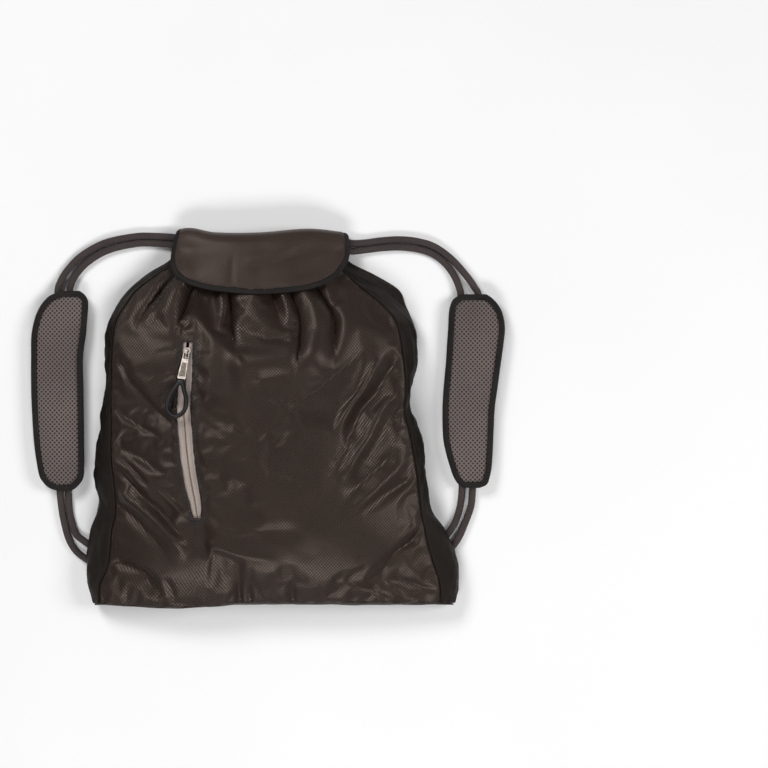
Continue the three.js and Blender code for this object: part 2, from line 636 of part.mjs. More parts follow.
// Flap: sewn to the back panel's top edge and folded forward over the mouth.
function flapSkin(x, way) {
  const w = way / FLAP_REACH;
  const y = BACK_TOP_AT * BAG_LENGTH + FLAP_REACH * read(FLAP_SECTION, 'past', w);
  const fold = smooth(0.02, 0.17, w) * (1 - smooth(0.36, 0.64, w));
  const wave = FLAP_REACH * read(FLAP_WAVE, 'out', (x - FLAP_MIDDLE) / FLAP_WIDTH);
  const rest = envelope(x, Math.min(y / BAG_LENGTH, MOUTH_AT)) + FLAP_REST;
  return new THREE.Vector3(x, y + fold * wave, read(FLAP_SECTION, 'lift', w) * rest);
}
function flapPoint(x, way, depth) {
  const p = flapSkin(x, way);
  const dx = flapSkin(x + 1, way).sub(flapSkin(x - 1, way));
  const dw = flapSkin(x, way + 1).sub(flapSkin(x, Math.max(way - 1, 0)));
  const normal = dw.cross(dx).normalize();
  if (normal.z < -0.7) normal.negate();
  return p.addScaledVector(normal, -depth);
}
const flapPlan = (across, way) =>
  new THREE.Vector2(FLAP_MIDDLE + FLAP_WIDTH * across, FLAP_REACH * way);
const flapOutline = [
  ...FLAP_PLAN.map(row => flapPlan(row.left, row.at)),
  flapPlan(0, 1),
  ...FLAP_PLAN.map(row => flapPlan(row.right, row.at)).reverse(),
];
// Moves an open outline inwards; the outline runs down the left, along the base and up the right.
function insetOpen(list, distance) {
  return list.map((p, k) => {
    const a = list[Math.max(k - 1, 0)];
    const b = list[Math.min(k + 1, list.length - 1)];
    const t = b.clone().sub(a).normalize();
    return new THREE.Vector2(p.x + t.y * distance, p.y - t.x * distance);
  });
}
const flapInner = insetOpen(flapOutline, BINDING_WIDTH + GAP);
const FLAP_COLUMNS = 12;
const flapRows = FLAP_PLAN.length - 1;
function flapGrid(i, j, depth) {
  const left = flapInner[j];
  const right = flapInner[flapInner.length - 1 - j];
  const t = i / FLAP_COLUMNS;
  const bow = FLAP_BOW * Math.sin(Math.PI * t) * smooth(flapRows - 4, flapRows, j);
  return flapPoint(lerp(left.x, right.x, t), lerp(left.y, right.y, t) + bow, depth);
}
add('flap', sheet(
  FLAP_COLUMNS, flapRows, (i, j) => flapGrid(i, j, 0), (i, j) => flapGrid(i, j, FLAP_WALL),
), FLAP_NYLON);

const bindingInner = insetOpen(flapOutline, BINDING_WIDTH);
add('flap_binding', rings(flapOutline.map((outer, k) => {
  const inner = bindingInner[k];
  return [
    flapPoint(outer.x, outer.y, -BINDING_RISE),
    flapPoint(inner.x, inner.y, -BINDING_RISE),
    flapPoint(inner.x, inner.y, FLAP_WALL + BINDING_RISE),
    flapPoint(outer.x, outer.y, FLAP_WALL + BINDING_RISE),
  ];
})), BINDING_CLOTH);

// Zip tapes under the slot. They part above the slider's wedge.
const TAPE_COLUMNS = 2;
const TAPE_ENDS = 0.012;
const TAPE_STEPS = 18;
const SPLIT_FROM = SLIDER_AT - 0.014;
const SPLIT_TO = SLIDER_AT - 0.003;
const TAPE_AT = [];
for (let j = 0; j <= TAPE_STEPS; j += 1) {
  TAPE_AT.push(lerp(ZIP_FROM - TAPE_ENDS, SPLIT_FROM, j / TAPE_STEPS));
}
TAPE_AT.push(SLIDER_AT - 0.008, SPLIT_TO, SLIDER_AT + 0.008, ZIP_TO - 0.01, ZIP_TO + TAPE_ENDS);
function tapePoint(side, i, j, depth) {
  const at = TAPE_AT[j];
  const split = (WEDGE_WIDTH / 2 + GAP) * smooth(SPLIT_FROM, SPLIT_TO, at);
  const near = GAP / 2 + split;
  const d = side * lerp(near, TAPE_WIDTH, i / TAPE_COLUMNS);
  const x = zipX(at) + d;
  return new THREE.Vector3(x, at * BAG_LENGTH, envelope(x, at) - depth);
}
for (const [name, side] of [['zip_tape_left', -1], ['zip_tape_right', 1]]) {
  add(name, sheet(
    TAPE_COLUMNS, TAPE_AT.length - 1,
    (i, j) => tapePoint(side, i, j, TAPE_TOP), (i, j) => tapePoint(side, i, j, TAPE_TOP + TAPE_WALL),
  ), TAPE);
}

// Slider and pull, in a frame that stands on the tapes at the slider.
const hinge = new THREE.Group();
const here = zipX(SLIDER_AT);
const zipTop = at => new THREE.Vector3(zipX(at), at * BAG_LENGTH, envelope(zipX(at), at) - TAPE_TOP);
const alongZip = zipTop(SLIDER_AT + 0.02).sub(zipTop(SLIDER_AT - 0.02)).normalize();
const acrossZip = new THREE.Vector3(2, 0, envelope(here + 1, SLIDER_AT) - envelope(here - 1, SLIDER_AT));
const zipNormal = acrossZip.clone().cross(alongZip).normalize();
const zipRight = alongZip.clone().cross(zipNormal).normalize();
hinge.position.copy(zipTop(SLIDER_AT));
hinge.quaternion.setFromRotationMatrix(new THREE.Matrix4().makeBasis(zipRight, alongZip, zipNormal));
group.add(hinge);

// Joins and cuts of closed shapes.
const wasm = await Module();
wasm.setup();
function solid(geometry) {
  const bare = geometry.clone();
  bare.deleteAttribute('normal');
  bare.deleteAttribute('uv');
  const merged = mergeVertices(bare, 1e-4);
  return new wasm.Manifold(new wasm.Mesh({
    numProp: 3,
    vertProperties: new Float32Array(merged.attributes.position.array),
    triVerts: new Uint32Array(merged.index.array),
  }));
}
function meshOf(body) {
  const mesh = body.getMesh();
  const geometry = new THREE.BufferGeometry();
  geometry.setAttribute('position', new THREE.BufferAttribute(new Float32Array(mesh.vertProperties), 3));
  geometry.setIndex(new THREE.BufferAttribute(new Uint32Array(mesh.triVerts), 1));
  geometry.computeVertexNormals();
  return geometry;
}

// An outline extruded upward from z.
function plate(shape, z, thick, bevel = 0) {
  const geometry = new THREE.ExtrudeGeometry(shape, {
    depth: thick - 2 * bevel,
    steps: 1,
    curveSegments: 3,
    bevelEnabled: bevel > 0,
    bevelThickness: bevel,
    bevelSize: bevel,
    bevelOffset: -bevel,
    bevelSegments: 1,
  });
  return geometry.translate(0, 0, z + bevel);
}
function roundedPlate(width, length, corner) {
  const shape = new THREE.Shape();
  const a = width / 2;
  const b = length / 2;
  shape.moveTo(-a + corner, -b);
  shape.lineTo(a - corner, -b);
  shape.quadraticCurveTo(a, -b, a, -b + corner);
  shape.lineTo(a, b - corner);
  shape.quadraticCurveTo(a, b, a - corner, b);
  shape.lineTo(-a + corner, b);
  shape.quadraticCurveTo(-a, b, -a, b - corner);
  shape.lineTo(-a, -b + corner);
  shape.quadraticCurveTo(-a, -b, -a + corner, -b);
  return shape;
}

// Slider: lower plate, wedge between the tapes, upper plate and bridge.
const lowerTop = -(TAPE_WALL + GAP);
const upperBottom = GAP;
const upperTop = upperBottom + SLIDER_PLATE;
const barZ = upperTop + BAR_CLEAR + BAR / 2;
const bridgeInner = barZ + BAR / 2 + BAR_CLEAR;
const bridgeTop = bridgeInner + BRIDGE_WALL;
const halfBridge = BRIDGE_LENGTH / 2;
const bridgeSide = new THREE.Shape();
bridgeSide.moveTo(-halfBridge, upperTop - 0.4);
bridgeSide.lineTo(-halfBridge, barZ);
bridgeSide.quadraticCurveTo(-halfBridge, bridgeTop, -halfBridge + 2.2, bridgeTop);
bridgeSide.lineTo(halfBridge - 2.2, bridgeTop);
bridgeSide.quadraticCurveTo(halfBridge, bridgeTop, halfBridge, barZ);
bridgeSide.lineTo(halfBridge, upperTop - 0.4);
bridgeSide.lineTo(halfBridge - 1.6, upperTop - 0.4);
bridgeSide.lineTo(halfBridge - 1.6, bridgeInner);
bridgeSide.lineTo(-halfBridge + 1.6, bridgeInner);
bridgeSide.lineTo(-halfBridge + 1.6, upperTop - 0.4);
bridgeSide.closePath();
const bridge = plate(bridgeSide, -BRIDGE_WIDTH / 2, BRIDGE_WIDTH);
bridge.applyMatrix4(new THREE.Matrix4().makeBasis(
  new THREE.Vector3(0, 1, 0), new THREE.Vector3(0, 0, 1), new THREE.Vector3(1, 0, 0),
));
const sliderPlan = roundedPlate(SLIDER_WIDTH, SLIDER_LENGTH, 2);
const wedgePlan = roundedPlate(WEDGE_WIDTH, WEDGE_LENGTH, 0.9);
const wedge = plate(wedgePlan, lowerTop - 0.4, upperBottom - lowerTop + 0.8);
wedge.translate(0, WEDGE_LENGTH / 2, 0);
const slider = solid(plate(sliderPlan, lowerTop - SLIDER_PLATE, SLIDER_PLATE, 0.25))
  .add(solid(wedge))
  .add(solid(plate(sliderPlan, upperBottom, SLIDER_PLATE, 0.25)))
  .add(solid(bridge));
add('zip_slider', meshOf(slider), METAL, hinge);

// Pull tab: a tapered plate with an eye and a plain recessed panel, drawn about its bar.
const pull = new THREE.Group();
pull.position.set(0, 0, barZ);
pull.rotation.z = TAB_SLANT;
hinge.add(pull);
const tilt = new THREE.Group();
tilt.rotation.x = -TAB_LIFT;
pull.add(tilt);
const tabHalf = r => lerp(TAB_TOP_WIDTH, TAB_END_WIDTH, r / TAB_LENGTH) / 2;
const tabPlan = new THREE.Shape();
tabPlan.moveTo(-tabHalf(0), BAR / 2);
tabPlan.lineTo(-tabHalf(TAB_LENGTH), 1 - TAB_LENGTH);
tabPlan.lineTo(1 - tabHalf(TAB_LENGTH), -TAB_LENGTH);
tabPlan.lineTo(tabHalf(TAB_LENGTH) - 1, -TAB_LENGTH);
tabPlan.lineTo(tabHalf(TAB_LENGTH), 1 - TAB_LENGTH);
tabPlan.lineTo(tabHalf(0), BAR / 2);
tabPlan.closePath();
const eye = new THREE.Path();
eye.moveTo(-EYE_WIDTH / 2, -BAR / 2);
eye.lineTo(EYE_WIDTH / 2, -BAR / 2);
eye.lineTo(EYE_WIDTH / 2, -BAR / 2 - EYE_LENGTH);
eye.lineTo(-EYE_WIDTH / 2, -BAR / 2 - EYE_LENGTH);
eye.closePath();
tabPlan.holes.push(eye);
const panelFrom = BAR / 2 + EYE_LENGTH + PANEL_MARGIN;
const panelTo = TAB_LENGTH - PANEL_MARGIN;
const panel = new THREE.Shape();
panel.moveTo(PANEL_MARGIN - tabHalf(panelFrom), -panelFrom);
panel.lineTo(tabHalf(panelFrom) - PANEL_MARGIN, -panelFrom);
panel.lineTo(tabHalf(panelTo) - PANEL_MARGIN, -panelTo);
panel.lineTo(PANEL_MARGIN - tabHalf(panelTo), -panelTo);
panel.closePath();
const tab = solid(plate(tabPlan, -BAR / 2, BAR, TAB_BEVEL))
  .subtract(solid(plate(panel, BAR / 2 - PANEL_DEPTH, 1)));
add('pull_tab', meshOf(tab), METAL, tilt);

// Pull loop: a collar at the tab's end and a round cord in a drop shape that lies on the cloth.
const collarFrom = TAB_LENGTH + GAP;
const collarTo = collarFrom + COLLAR_LENGTH;
const collar = plate(roundedPlate(COLLAR_WIDTH, COLLAR_LENGTH, 2), -COLLAR_THICK / 2, COLLAR_THICK, 0.7);
collar.translate(0, -(collarFrom + collarTo) / 2, 0);
const LOOP_SHAPE = [
  { along: -0.08, half: 0.10 },
  { along: 0.12, half: 0.24 },
  { along: 0.36, half: 0.42 },
  { along: 0.62, half: 0.5 },
  { along: 0.86, half: 0.37 },
];
const loopPoint = (row, side) => new THREE.Vector3(
  side * row.half * (LOOP_WIDTH - LOOP_CORD),
  -(collarTo + row.along * (LOOP_LENGTH - LOOP_CORD / 2)),
  -2.4 * smooth(-0.05, 0.9, row.along),
);
const loopPath = new THREE.CatmullRomCurve3([
  ...LOOP_SHAPE.map(row => loopPoint(row, -1)),
  new THREE.Vector3(0, -(collarTo + LOOP_LENGTH - LOOP_CORD / 2), -2.5),
  ...LOOP_SHAPE.map(row => loopPoint(row, 1)).reverse(),
]);
function roundSection(radius, sides) {
  const shape = new THREE.Shape();
  for (let i = 0; i < sides; i += 1) {
    const a = 2 * Math.PI * (i + 0.5) / sides;
    const r = radius / Math.sqrt(Math.cos(Math.PI / sides));
    if (i === 0) shape.moveTo(r * Math.cos(a), r * Math.sin(a));
    else shape.lineTo(r * Math.cos(a), r * Math.sin(a));
  }
  shape.closePath();
  return shape;
}
const loopCord = new THREE.ExtrudeGeometry(roundSection(LOOP_CORD / 2, 6), {
  steps: 22, bevelEnabled: false, extrudePath: loopPath,
});
add('pull_loop', meshOf(solid(collar).add(solid(loopCord))), LOOP_PLASTIC, tilt);

// Cords.
const cordPath = rows => new THREE.CatmullRomCurve3(
  rows.map(row => new THREE.Vector3(row.across * BAG_WIDTH, row.at * BAG_LENGTH, row.z)),
);
const CORD_STEP = 17;
for (const [name, rows] of [
  ['cord_left_outer', CORD_LEFT_OUTER],
  ['cord_left_inner', CORD_LEFT_INNER],
  ['cord_right_inner', CORD_RIGHT_INNER],
  ['cord_right_outer', CORD_RIGHT_OUTER],
]) {
  const path = cordPath(rows);
  add(name, new THREE.ExtrudeGeometry(roundSection(CORD / 2, 8), {
    steps: Math.round(path.getLength() / CORD_STEP), bevelEnabled: false, extrudePath: path,
  }), CORD_CLOTH);
}

// Pads: a padded mesh face, a binding round its edge and a back sleeve that the cords run through.
const PAD_ROWS = 15;
function padOutline(rows) {
  const from = rows[0].at;
  const to = rows[rows.length - 1].at;
  const list = [];
  for (const [key, flip] of [['right', false], ['left', true]]) {
    for (let k = 0; k <= PAD_ROWS; k += 1) {
      const c = (1 - Math.cos(Math.PI * k / PAD_ROWS)) / 2;
      const s = lerp(c, k / PAD_ROWS, 0.35);
      const at = flip ? lerp(to, from, s) : lerp(from, to, s);
      list.push(new THREE.Vector2(BAG_WIDTH * read(rows, key, at), BAG_LENGTH * at));
    }
  }
  return list;
}
// Moves a closed outline, counterclockwise from above, inwards.
function insetClosed(list, distance) {
  const n = list.length;
  return list.map((p, k) => {
    const before = p.clone().sub(list[(k + n - 1) % n]).normalize();
    const after = list[(k + 1) % n].clone().sub(p).normalize();
    const t = before.add(after).normalize();
    return new THREE.Vector2(p.x - t.y * distance, p.y + t.x * distance);
  });
}
for (const [side, rows] of [['left', PAD_LEFT], ['right', PAD_RIGHT]]) {
  const outline = padOutline(rows);
  const face = new THREE.Shape(insetClosed(outline, PAD_BINDING + GAP));
  add(`pad_${side}`, plate(face, PAD_LIFT, PAD_THICK, PAD_ROUND), MESH_CLOTH);
  const inner = insetClosed(outline, PAD_BINDING);
  const top = PAD_LIFT + PAD_THICK + PAD_BINDING_RISE;
  const bottom = PAD_LIFT - PAD_BINDING_RISE;
  const shoulder = insetClosed(outline, PAD_ROUND);
  add(`pad_binding_${side}`, rings(outline.map((p, k) => [
    new THREE.Vector3(p.x, p.y, bottom + PAD_ROUND),
    new THREE.Vector3(p.x, p.y, top - PAD_ROUND),
    new THREE.Vector3(shoulder[k].x, shoulder[k].y, top),
    new THREE.Vector3(inner[k].x, inner[k].y, top),
    new THREE.Vector3(inner[k].x, inner[k].y, bottom),
    new THREE.Vector3(shoulder[k].x, shoulder[k].y, bottom),
  ]), true), BINDING_CLOTH);

  // The sleeve is a shallow trough: side wall, floor, side wall.
  const SLEEVE_ROWS = 8;
  const from = rows[0].at + SLEEVE_ENDS;
  const to = rows[rows.length - 1].at - SLEEVE_ENDS;
  const wallTop = bottom - GAP;
  const profile = (at, depth) => {
    const left = BAG_WIDTH * read(rows, 'left', at) + SLEEVE_INSET + depth;
    const right = BAG_WIDTH * read(rows, 'right', at) - SLEEVE_INSET - depth;
    const corner = SLEEVE_CORNER - depth;
    return [
      [left, wallTop], [left, SLEEVE_CORNER], [left + corner, depth], [lerp(left, right, 0.5), depth],
      [right - corner, depth], [right, SLEEVE_CORNER], [right, wallTop],
    ];
  };
  const sleeve = depth => (i, j) => {
    const at = lerp(from, to, j / SLEEVE_ROWS);
    const [x, z] = profile(at, depth)[i];
    return new THREE.Vector3(x, at * BAG_LENGTH, z);
  };
  add(`pad_sleeve_${side}`, sheet(6, SLEEVE_ROWS, sleeve(0), sleeve(PAD_SLEEVE)), BLACK_CLOTH);
}

// Centre the object over the origin.
group.updateMatrixWorld(true);
const box = new THREE.Box3().setFromObject(group, true);
const centre = box.getCenter(new THREE.Vector3());
group.position.set(-centre.x, -centre.y, -box.min.z);

export default group;
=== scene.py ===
# Packable drawcord backpack, lying on its back on a pale floor.
# Shapes are worked out in millimetres in the bag's own frame: X across, Y from the base to the
# mouth, Z up from the floor. place() turns them into metres in the frame's coordinates.
import math
import random

import bmesh
import bpy
from mathutils import Matrix, Vector, noise
from mathutils.bvhtree import BVHTree


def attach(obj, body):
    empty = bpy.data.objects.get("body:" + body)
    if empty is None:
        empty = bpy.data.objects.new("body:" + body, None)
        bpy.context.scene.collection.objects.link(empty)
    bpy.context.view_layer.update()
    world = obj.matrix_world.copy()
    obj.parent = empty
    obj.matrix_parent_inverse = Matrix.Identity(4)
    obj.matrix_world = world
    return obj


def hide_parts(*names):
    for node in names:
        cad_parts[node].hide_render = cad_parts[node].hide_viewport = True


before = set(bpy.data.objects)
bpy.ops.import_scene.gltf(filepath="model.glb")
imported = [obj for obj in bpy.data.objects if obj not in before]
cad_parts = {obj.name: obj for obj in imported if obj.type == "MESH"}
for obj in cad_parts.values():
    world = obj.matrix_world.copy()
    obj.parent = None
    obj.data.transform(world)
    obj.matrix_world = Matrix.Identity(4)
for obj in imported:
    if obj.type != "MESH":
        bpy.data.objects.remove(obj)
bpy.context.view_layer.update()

MM = 0.001
UP = Vector((0, 0, 1))
# From the bag's own frame to the middle of the frame's floor, in mm.
SHIFT = Vector((1.549, -183.699, 0))

# Main sizes, as in the frame.
BAG_LENGTH = 370
BAG_WIDTH = 360
BAG_DEPTH = 64
WALL = 1.8
CLOTH = 1.2
CROWN_POWER = 2.6
MOUTH_AT = 0.9457
BACK_TOP_AT = 0.984
BULGE_AT = 0.32

CASING_HALF_WIDTH = 5.6
CASING_HALF_HEIGHT = 4
CASING_RUFFLES = 9
CASING_SINK = 4.6
CASING_END_HEIGHT = 9.4
CASING_PAST_LEFT = 5
CASING_PAST_RIGHT = 7
CASING_ARCH = 2.2
CASING_RUFFLE = 0.22
CASING_CRINKLE = 0.12

FLAP_WIDTH = 177.5
FLAP_REACH = 93.2
FLAP_MIDDLE = -8.75
FLAP_WALL = 1.4
FLAP_REST = 6.6
BINDING_WIDTH = 6.6

TAPE_TOP = WALL + 0.7
TAPE_WIDTH = 10
TAPE_WALL = 0.8
ZIP_FROM = 0.233
ZIP_TO = 0.697
SLIDER_AT = 0.668
SLIDER_PLATE = 1.2
BAR = 1.3
BAR_CLEAR = 0.35
TAB_LENGTH = 27
TAB_SLANT = -0.11
TAB_LIFT = 0.085
COLLAR_LENGTH = 5.6
COLLAR_WIDTH = 9.4
COLLAR_THICK = 3.4
LOOP_LENGTH = 33
LOOP_WIDTH = 22
LOOP_CORD = 3.2
GAP = 0.3

CORD = 7
PAD_LIFT = 9.4
PAD_THICK = 5
PAD_BINDING = 6
SLEEVE_INSET = 3.4
SLEEVE_ENDS = 0.042


def table(columns, *rows):
    names = columns.split()
    return [dict(zip(names, row)) for row in rows]


# Cross sections: 'at' is the share of BAG_LENGTH, sideways columns are shares of BAG_WIDTH and the
# last two shares of BAG_DEPTH.
SECTIONS = table(
    "at back_left out_left seam_left seam_right out_right back_right seam crown",
    (0, -0.470, -0.484, -0.465, 0.473, 0.511, 0.497, 0.44, 0.62),
    (0.05, -0.483, -0.499, -0.462, 0.470, 0.521, 0.505, 0.52, 0.76),
    (0.10, -0.488, -0.504, -0.440, 0.455, 0.521, 0.505, 0.56, 0.87),
    (0.155, -0.482, -0.498, -0.432, 0.438, 0.504, 0.488, 0.59, 0.94),
    (0.20, -0.475, -0.490, -0.427, 0.428, 0.478, 0.463, 0.61, 0.97),
    (0.24, -0.462, -0.475, -0.418, 0.419, 0.448, 0.436, 0.62, 0.98),
    (0.28, -0.453, -0.466, -0.417, 0.414, 0.437, 0.425, 0.62, 0.99),
    (0.34, -0.467, -0.480, -0.424, 0.407, 0.428, 0.415, 0.62, 1),
    (0.40, -0.463, -0.476, -0.429, 0.398, 0.424, 0.411, 0.62, 1),
    (0.46, -0.452, -0.464, -0.429, 0.386, 0.412, 0.400, 0.62, 0.99),
    (0.517, -0.445, -0.457, -0.429, 0.371, 0.388, 0.377, 0.62, 0.98),
    (0.557, -0.440, -0.451, -0.429, 0.376, 0.385, 0.374, 0.62, 0.97),
    (0.60, -0.437, -0.448, -0.428, 0.375, 0.395, 0.383, 0.61, 0.95),
    (0.66, -0.437, -0.448, -0.427, 0.369, 0.407, 0.396, 0.60, 0.91),
    (0.718, -0.437, -0.448, -0.423, 0.359, 0.404, 0.396, 0.57, 0.84),
    (0.758, -0.430, -0.440, -0.414, 0.347, 0.389, 0.391, 0.53, 0.78),
    (0.798, -0.406, -0.415, -0.391, 0.311, 0.358, 0.374, 0.48, 0.71),
    (0.839, -0.377, -0.385, -0.359, 0.259, 0.326, 0.356, 0.43, 0.63),
    (0.879, -0.332, -0.338, -0.305, 0.212, 0.262, 0.290, 0.38, 0.56),
    (0.914, -0.276, -0.281, -0.247, 0.185, 0.208, 0.220, 0.35, 0.51),
    (0.95, -0.250, -0.247, -0.218, 0.168, 0.196, 0.208, 0.32, 0.47),
    (0.984, -0.247, -0.247, -0.218, 0.168, 0.196, 0.206, 0.32, 0.47),
)

# The zip's line: share of the front's width, and half the window as a share of TAPE_WIDTH.
ZIP_LINE = table(
    "at across half",
    (0, 0.285, 0.34),
    (ZIP_FROM, 0.273, 0.36),
    (0.255, 0.269, 0.5),
    (0.307, 0.262, 0.63),
    (0.40, 0.256, 0.68),
    (0.49, 0.2525, 0.68),
    (0.56, 0.2535, 0.66),
    (0.63, 0.259, 0.6),
    (ZIP_TO, 0.2645, 0.46),
    (0.76, 0.267, 0.3),
    (MOUTH_AT, 0.27, 0.19),
)

# Gathers from the mouth, as in the frame, with the way each leans: a positive lean makes the
# right-hand side steep, a negative one the left.
GATHER_FADE = 0.13
BROW_AT = 0.83
SQUEEZE_FROM = 0.78
SQUEEZE_TO = 0.9
MOUTH_CALM = 0.62
GATHERS = table(
    "brow foot end width rise lean",
    (0.112, 0.070, 0.70, 0.0167, -0.086, -0.2),
    (0.140, 0.098, 0.74, 0.0060, 0.034, 0.0),
    (0.185, 0.160, 0.69, 0.0310, 0.062, 0.4),
    (0.238, 0.224, 0.68, 0.0125, -0.110, -0.5),
    (0.315, 0.330, 0.715, 0.0389, -0.069, 0.0),
    (0.318, 0.318, 0.76, 0.0070, 0.040, 0.2),
    (0.385, 0.374, 0.71, 0.0089, 0.060, 0.3),
    (0.419, 0.432, 0.64, 0.0139, -0.105, 0.6),
    (0.505, 0.510, 0.65, 0.0361, 0.047, 0.0),
    (0.595, 0.577, 0.72, 0.0167, -0.095, 0.3),
    (0.637, 0.600, 0.71, 0.0094, 0.050, 0.0),
    (0.664, 0.626, 0.58, 0.0128, -0.080, -0.3),
    (0.735, 0.690, 0.62, 0.0333, 0.041, 0.0),
    (0.800, 0.745, 0.61, 0.0153, -0.085, 0.3),
    (0.925, 0.930, 0.79, 0.025, 0.047, 0.0),
)

# Creases across the front, as in the frame, and then the finer ones.
CREASE_FADE = 0.05
CREASE_BEND = 2.5
CREASE_BEND_SIZE = 45
CREASES = table(
    "across at to_across to_at width rise",
    (0.975, 0.650, 0.79, 0.44, 0.0240, -0.050),
    (0.885, 0.690, 0.63, 0.53, 0.0280, -0.036),
    (0.910, 0.640, 0.755, 0.455, 0.0140, 0.024),
    (0.980, 0.573, 0.755, 0.34, 0.0190, 0.040),
    (0.999, 0.545, 0.955, 0.46, 0.0080, -0.036),
    (0.930, 0.400, 0.765, 0.297, 0.0190, -0.036),
    (0.950, 0.372, 0.76, 0.25, 0.0150, 0.022),
    (0.999, 0.345, 0.90, 0.297, 0.0130, -0.028),
    (0.985, 0.215, 0.92, 0.178, 0.0090, 0.022),
    (0.985, 0.188, 0.90, 0.145, 0.0110, -0.030),
    (0.42, 0.625, 0.74, 0.668, 0.0480, 0.046),
    (0.03, 0.655, 0.07, 0.58, 0.0110, -0.030),
    (0.07, 0.590, 0.22, 0.47, 0.0130, -0.026),
    (0.01, 0.307, 0.255, 0.145, 0.0194, 0.044),
    (0.108, 0.323, 0.265, 0.222, 0.0153, 0.034),
    (0.01, 0.43, 0.16, 0.355, 0.0167, -0.031),
    (0.49, 0.597, 0.61, 0.618, 0.0278, -0.031),
    (0.364, 0.198, 0.60, 0.198, 0.0222, -0.023),
    (0.87, 0.064, 0.98, 0.036, 0.0139, -0.031),
    (0.02, 0.40, 0.22, 0.24, 0.009, -0.026),
    (0.02, 0.355, 0.24, 0.18, 0.010, -0.028),
    (0.03, 0.26, 0.20, 0.13, 0.010, -0.022),
    (0.02, 0.11, 0.16, 0.075, 0.011, -0.026),
    (0.02, 0.52, 0.17, 0.44, 0.010, -0.020),
    (0.30, 0.16, 0.52, 0.12, 0.016, 0.018),
    (0.30, 0.07, 0.285, -0.05, 0.008, -0.030),
    (0.41, 0.055, 0.415, -0.05, 0.010, -0.034),
    (0.44, 0.045, 0.445, -0.05, 0.006, -0.024),
    (0.565, 0.05, 0.57, -0.05, 0.007, -0.026),
    (0.74, 0.06, 0.86, 0.02, 0.010, -0.022),
)

# How far the front's base edge hangs below the base line, as a share of BAG_LENGTH.
BASE_EDGE = table(
    "at drop",
    (0, 0),
    (0.08, 0.0054),
    (0.2, 0.0108),
    (0.33, 0.0054),
    (0.4, -0.0038),
    (0.7, -0.0043),
    (1, 0),
)

FLAP_SECTION = table(
    "at past lift",
    (0, 0.003, 0.07),
    (0.086, 0.036, 0.24),
    (0.193, 0.053, 0.5),
    (0.322, 0.027, 0.8),
    (0.386, -0.018, 0.9),
    (0.451, -0.076, 0.96),
    (0.579, -0.210, 1),
    (1.009, -0.640, 1),
)
FLAP_PLAN = table(
    "at left right",
    (0.043, -0.452, 0.472),
    (0.193, -0.461, 0.483),
    (0.322, -0.472, 0.494),
    (0.386, -0.480, 0.498),
    (0.451, -0.489, 0.5),
    (0.579, -0.5, 0.5),
    (0.665, -0.497, 0.486),
    (0.751, -0.483, 0.457),
    (0.815, -0.458, 0.428),
    (0.869, -0.421, 0.387),
    (0.912, -0.365, 0.337),
    (0.955, -0.276, 0.258),
    (0.987, -0.137, 0.139),
)
FLAP_WAVE = table(
    "at out",
    (-0.497, 0.005),
    (-0.390, 0.021),
    (-0.261, -0.026),
    (-0.007, -0.030),
    (0.275, 0.011),
    (0.489, -0.027),
)
# Folds of the flap: ends as shares of FLAP_WIDTH from its middle and of FLAP_REACH.
FLAP_FOLDS = table(
    "across at to_across to_at width rise",
    (-0.06, 0.66, 0.22, 0.46, 5.5, 1.3),
    (-0.03, 0.72, 0.27, 0.55, 6, -1.4),
    (-0.148, 0.60, -0.152, 0.98, 3, -0.7),
    (-0.40, 0.50, -0.33, 0.86, 7, -0.9),
    (0.30, 0.62, 0.42, 0.50, 5, 0.9),
    (0.14, 0.92, 0.34, 0.80, 5, 0.8),
    (-0.42, 0.86, -0.30, 0.93, 3, 0.8),
)

PAD_LEFT = table(
    "at left right",
    (0.299, -0.587, -0.548),
    (0.307, -0.609, -0.535),
    (0.318, -0.622, -0.524),
    (0.334, -0.634, -0.514),
    (0.36, -0.641, -0.512),
    (0.42, -0.650, -0.512),
    (0.50, -0.656, -0.513),
    (0.58, -0.659, -0.514),
    (0.66, -0.659, -0.515),
    (0.72, -0.658, -0.507),
    (0.765, -0.648, -0.503),
    (0.794, -0.635, -0.501),
    (0.812, -0.621, -0.502),
    (0.826, -0.604, -0.510),
    (0.837, -0.573, -0.524),
)
PAD_RIGHT = table(
    "at left right",
    (0.307, 0.541, 0.582),
    (0.315, 0.524, 0.600),
    (0.336, 0.509, 0.609),
    (0.36, 0.500, 0.614),
    (0.40, 0.488, 0.617),
    (0.44, 0.480, 0.619),
    (0.52, 0.478, 0.623),
    (0.585, 0.482, 0.632),
    (0.65, 0.488, 0.641),
    (0.70, 0.491, 0.648),
    (0.742, 0.494, 0.651),
    (0.78, 0.496, 0.643),
    (0.804, 0.502, 0.629),
    (0.818, 0.512, 0.615),
    (0.828, 0.532, 0.600),
)

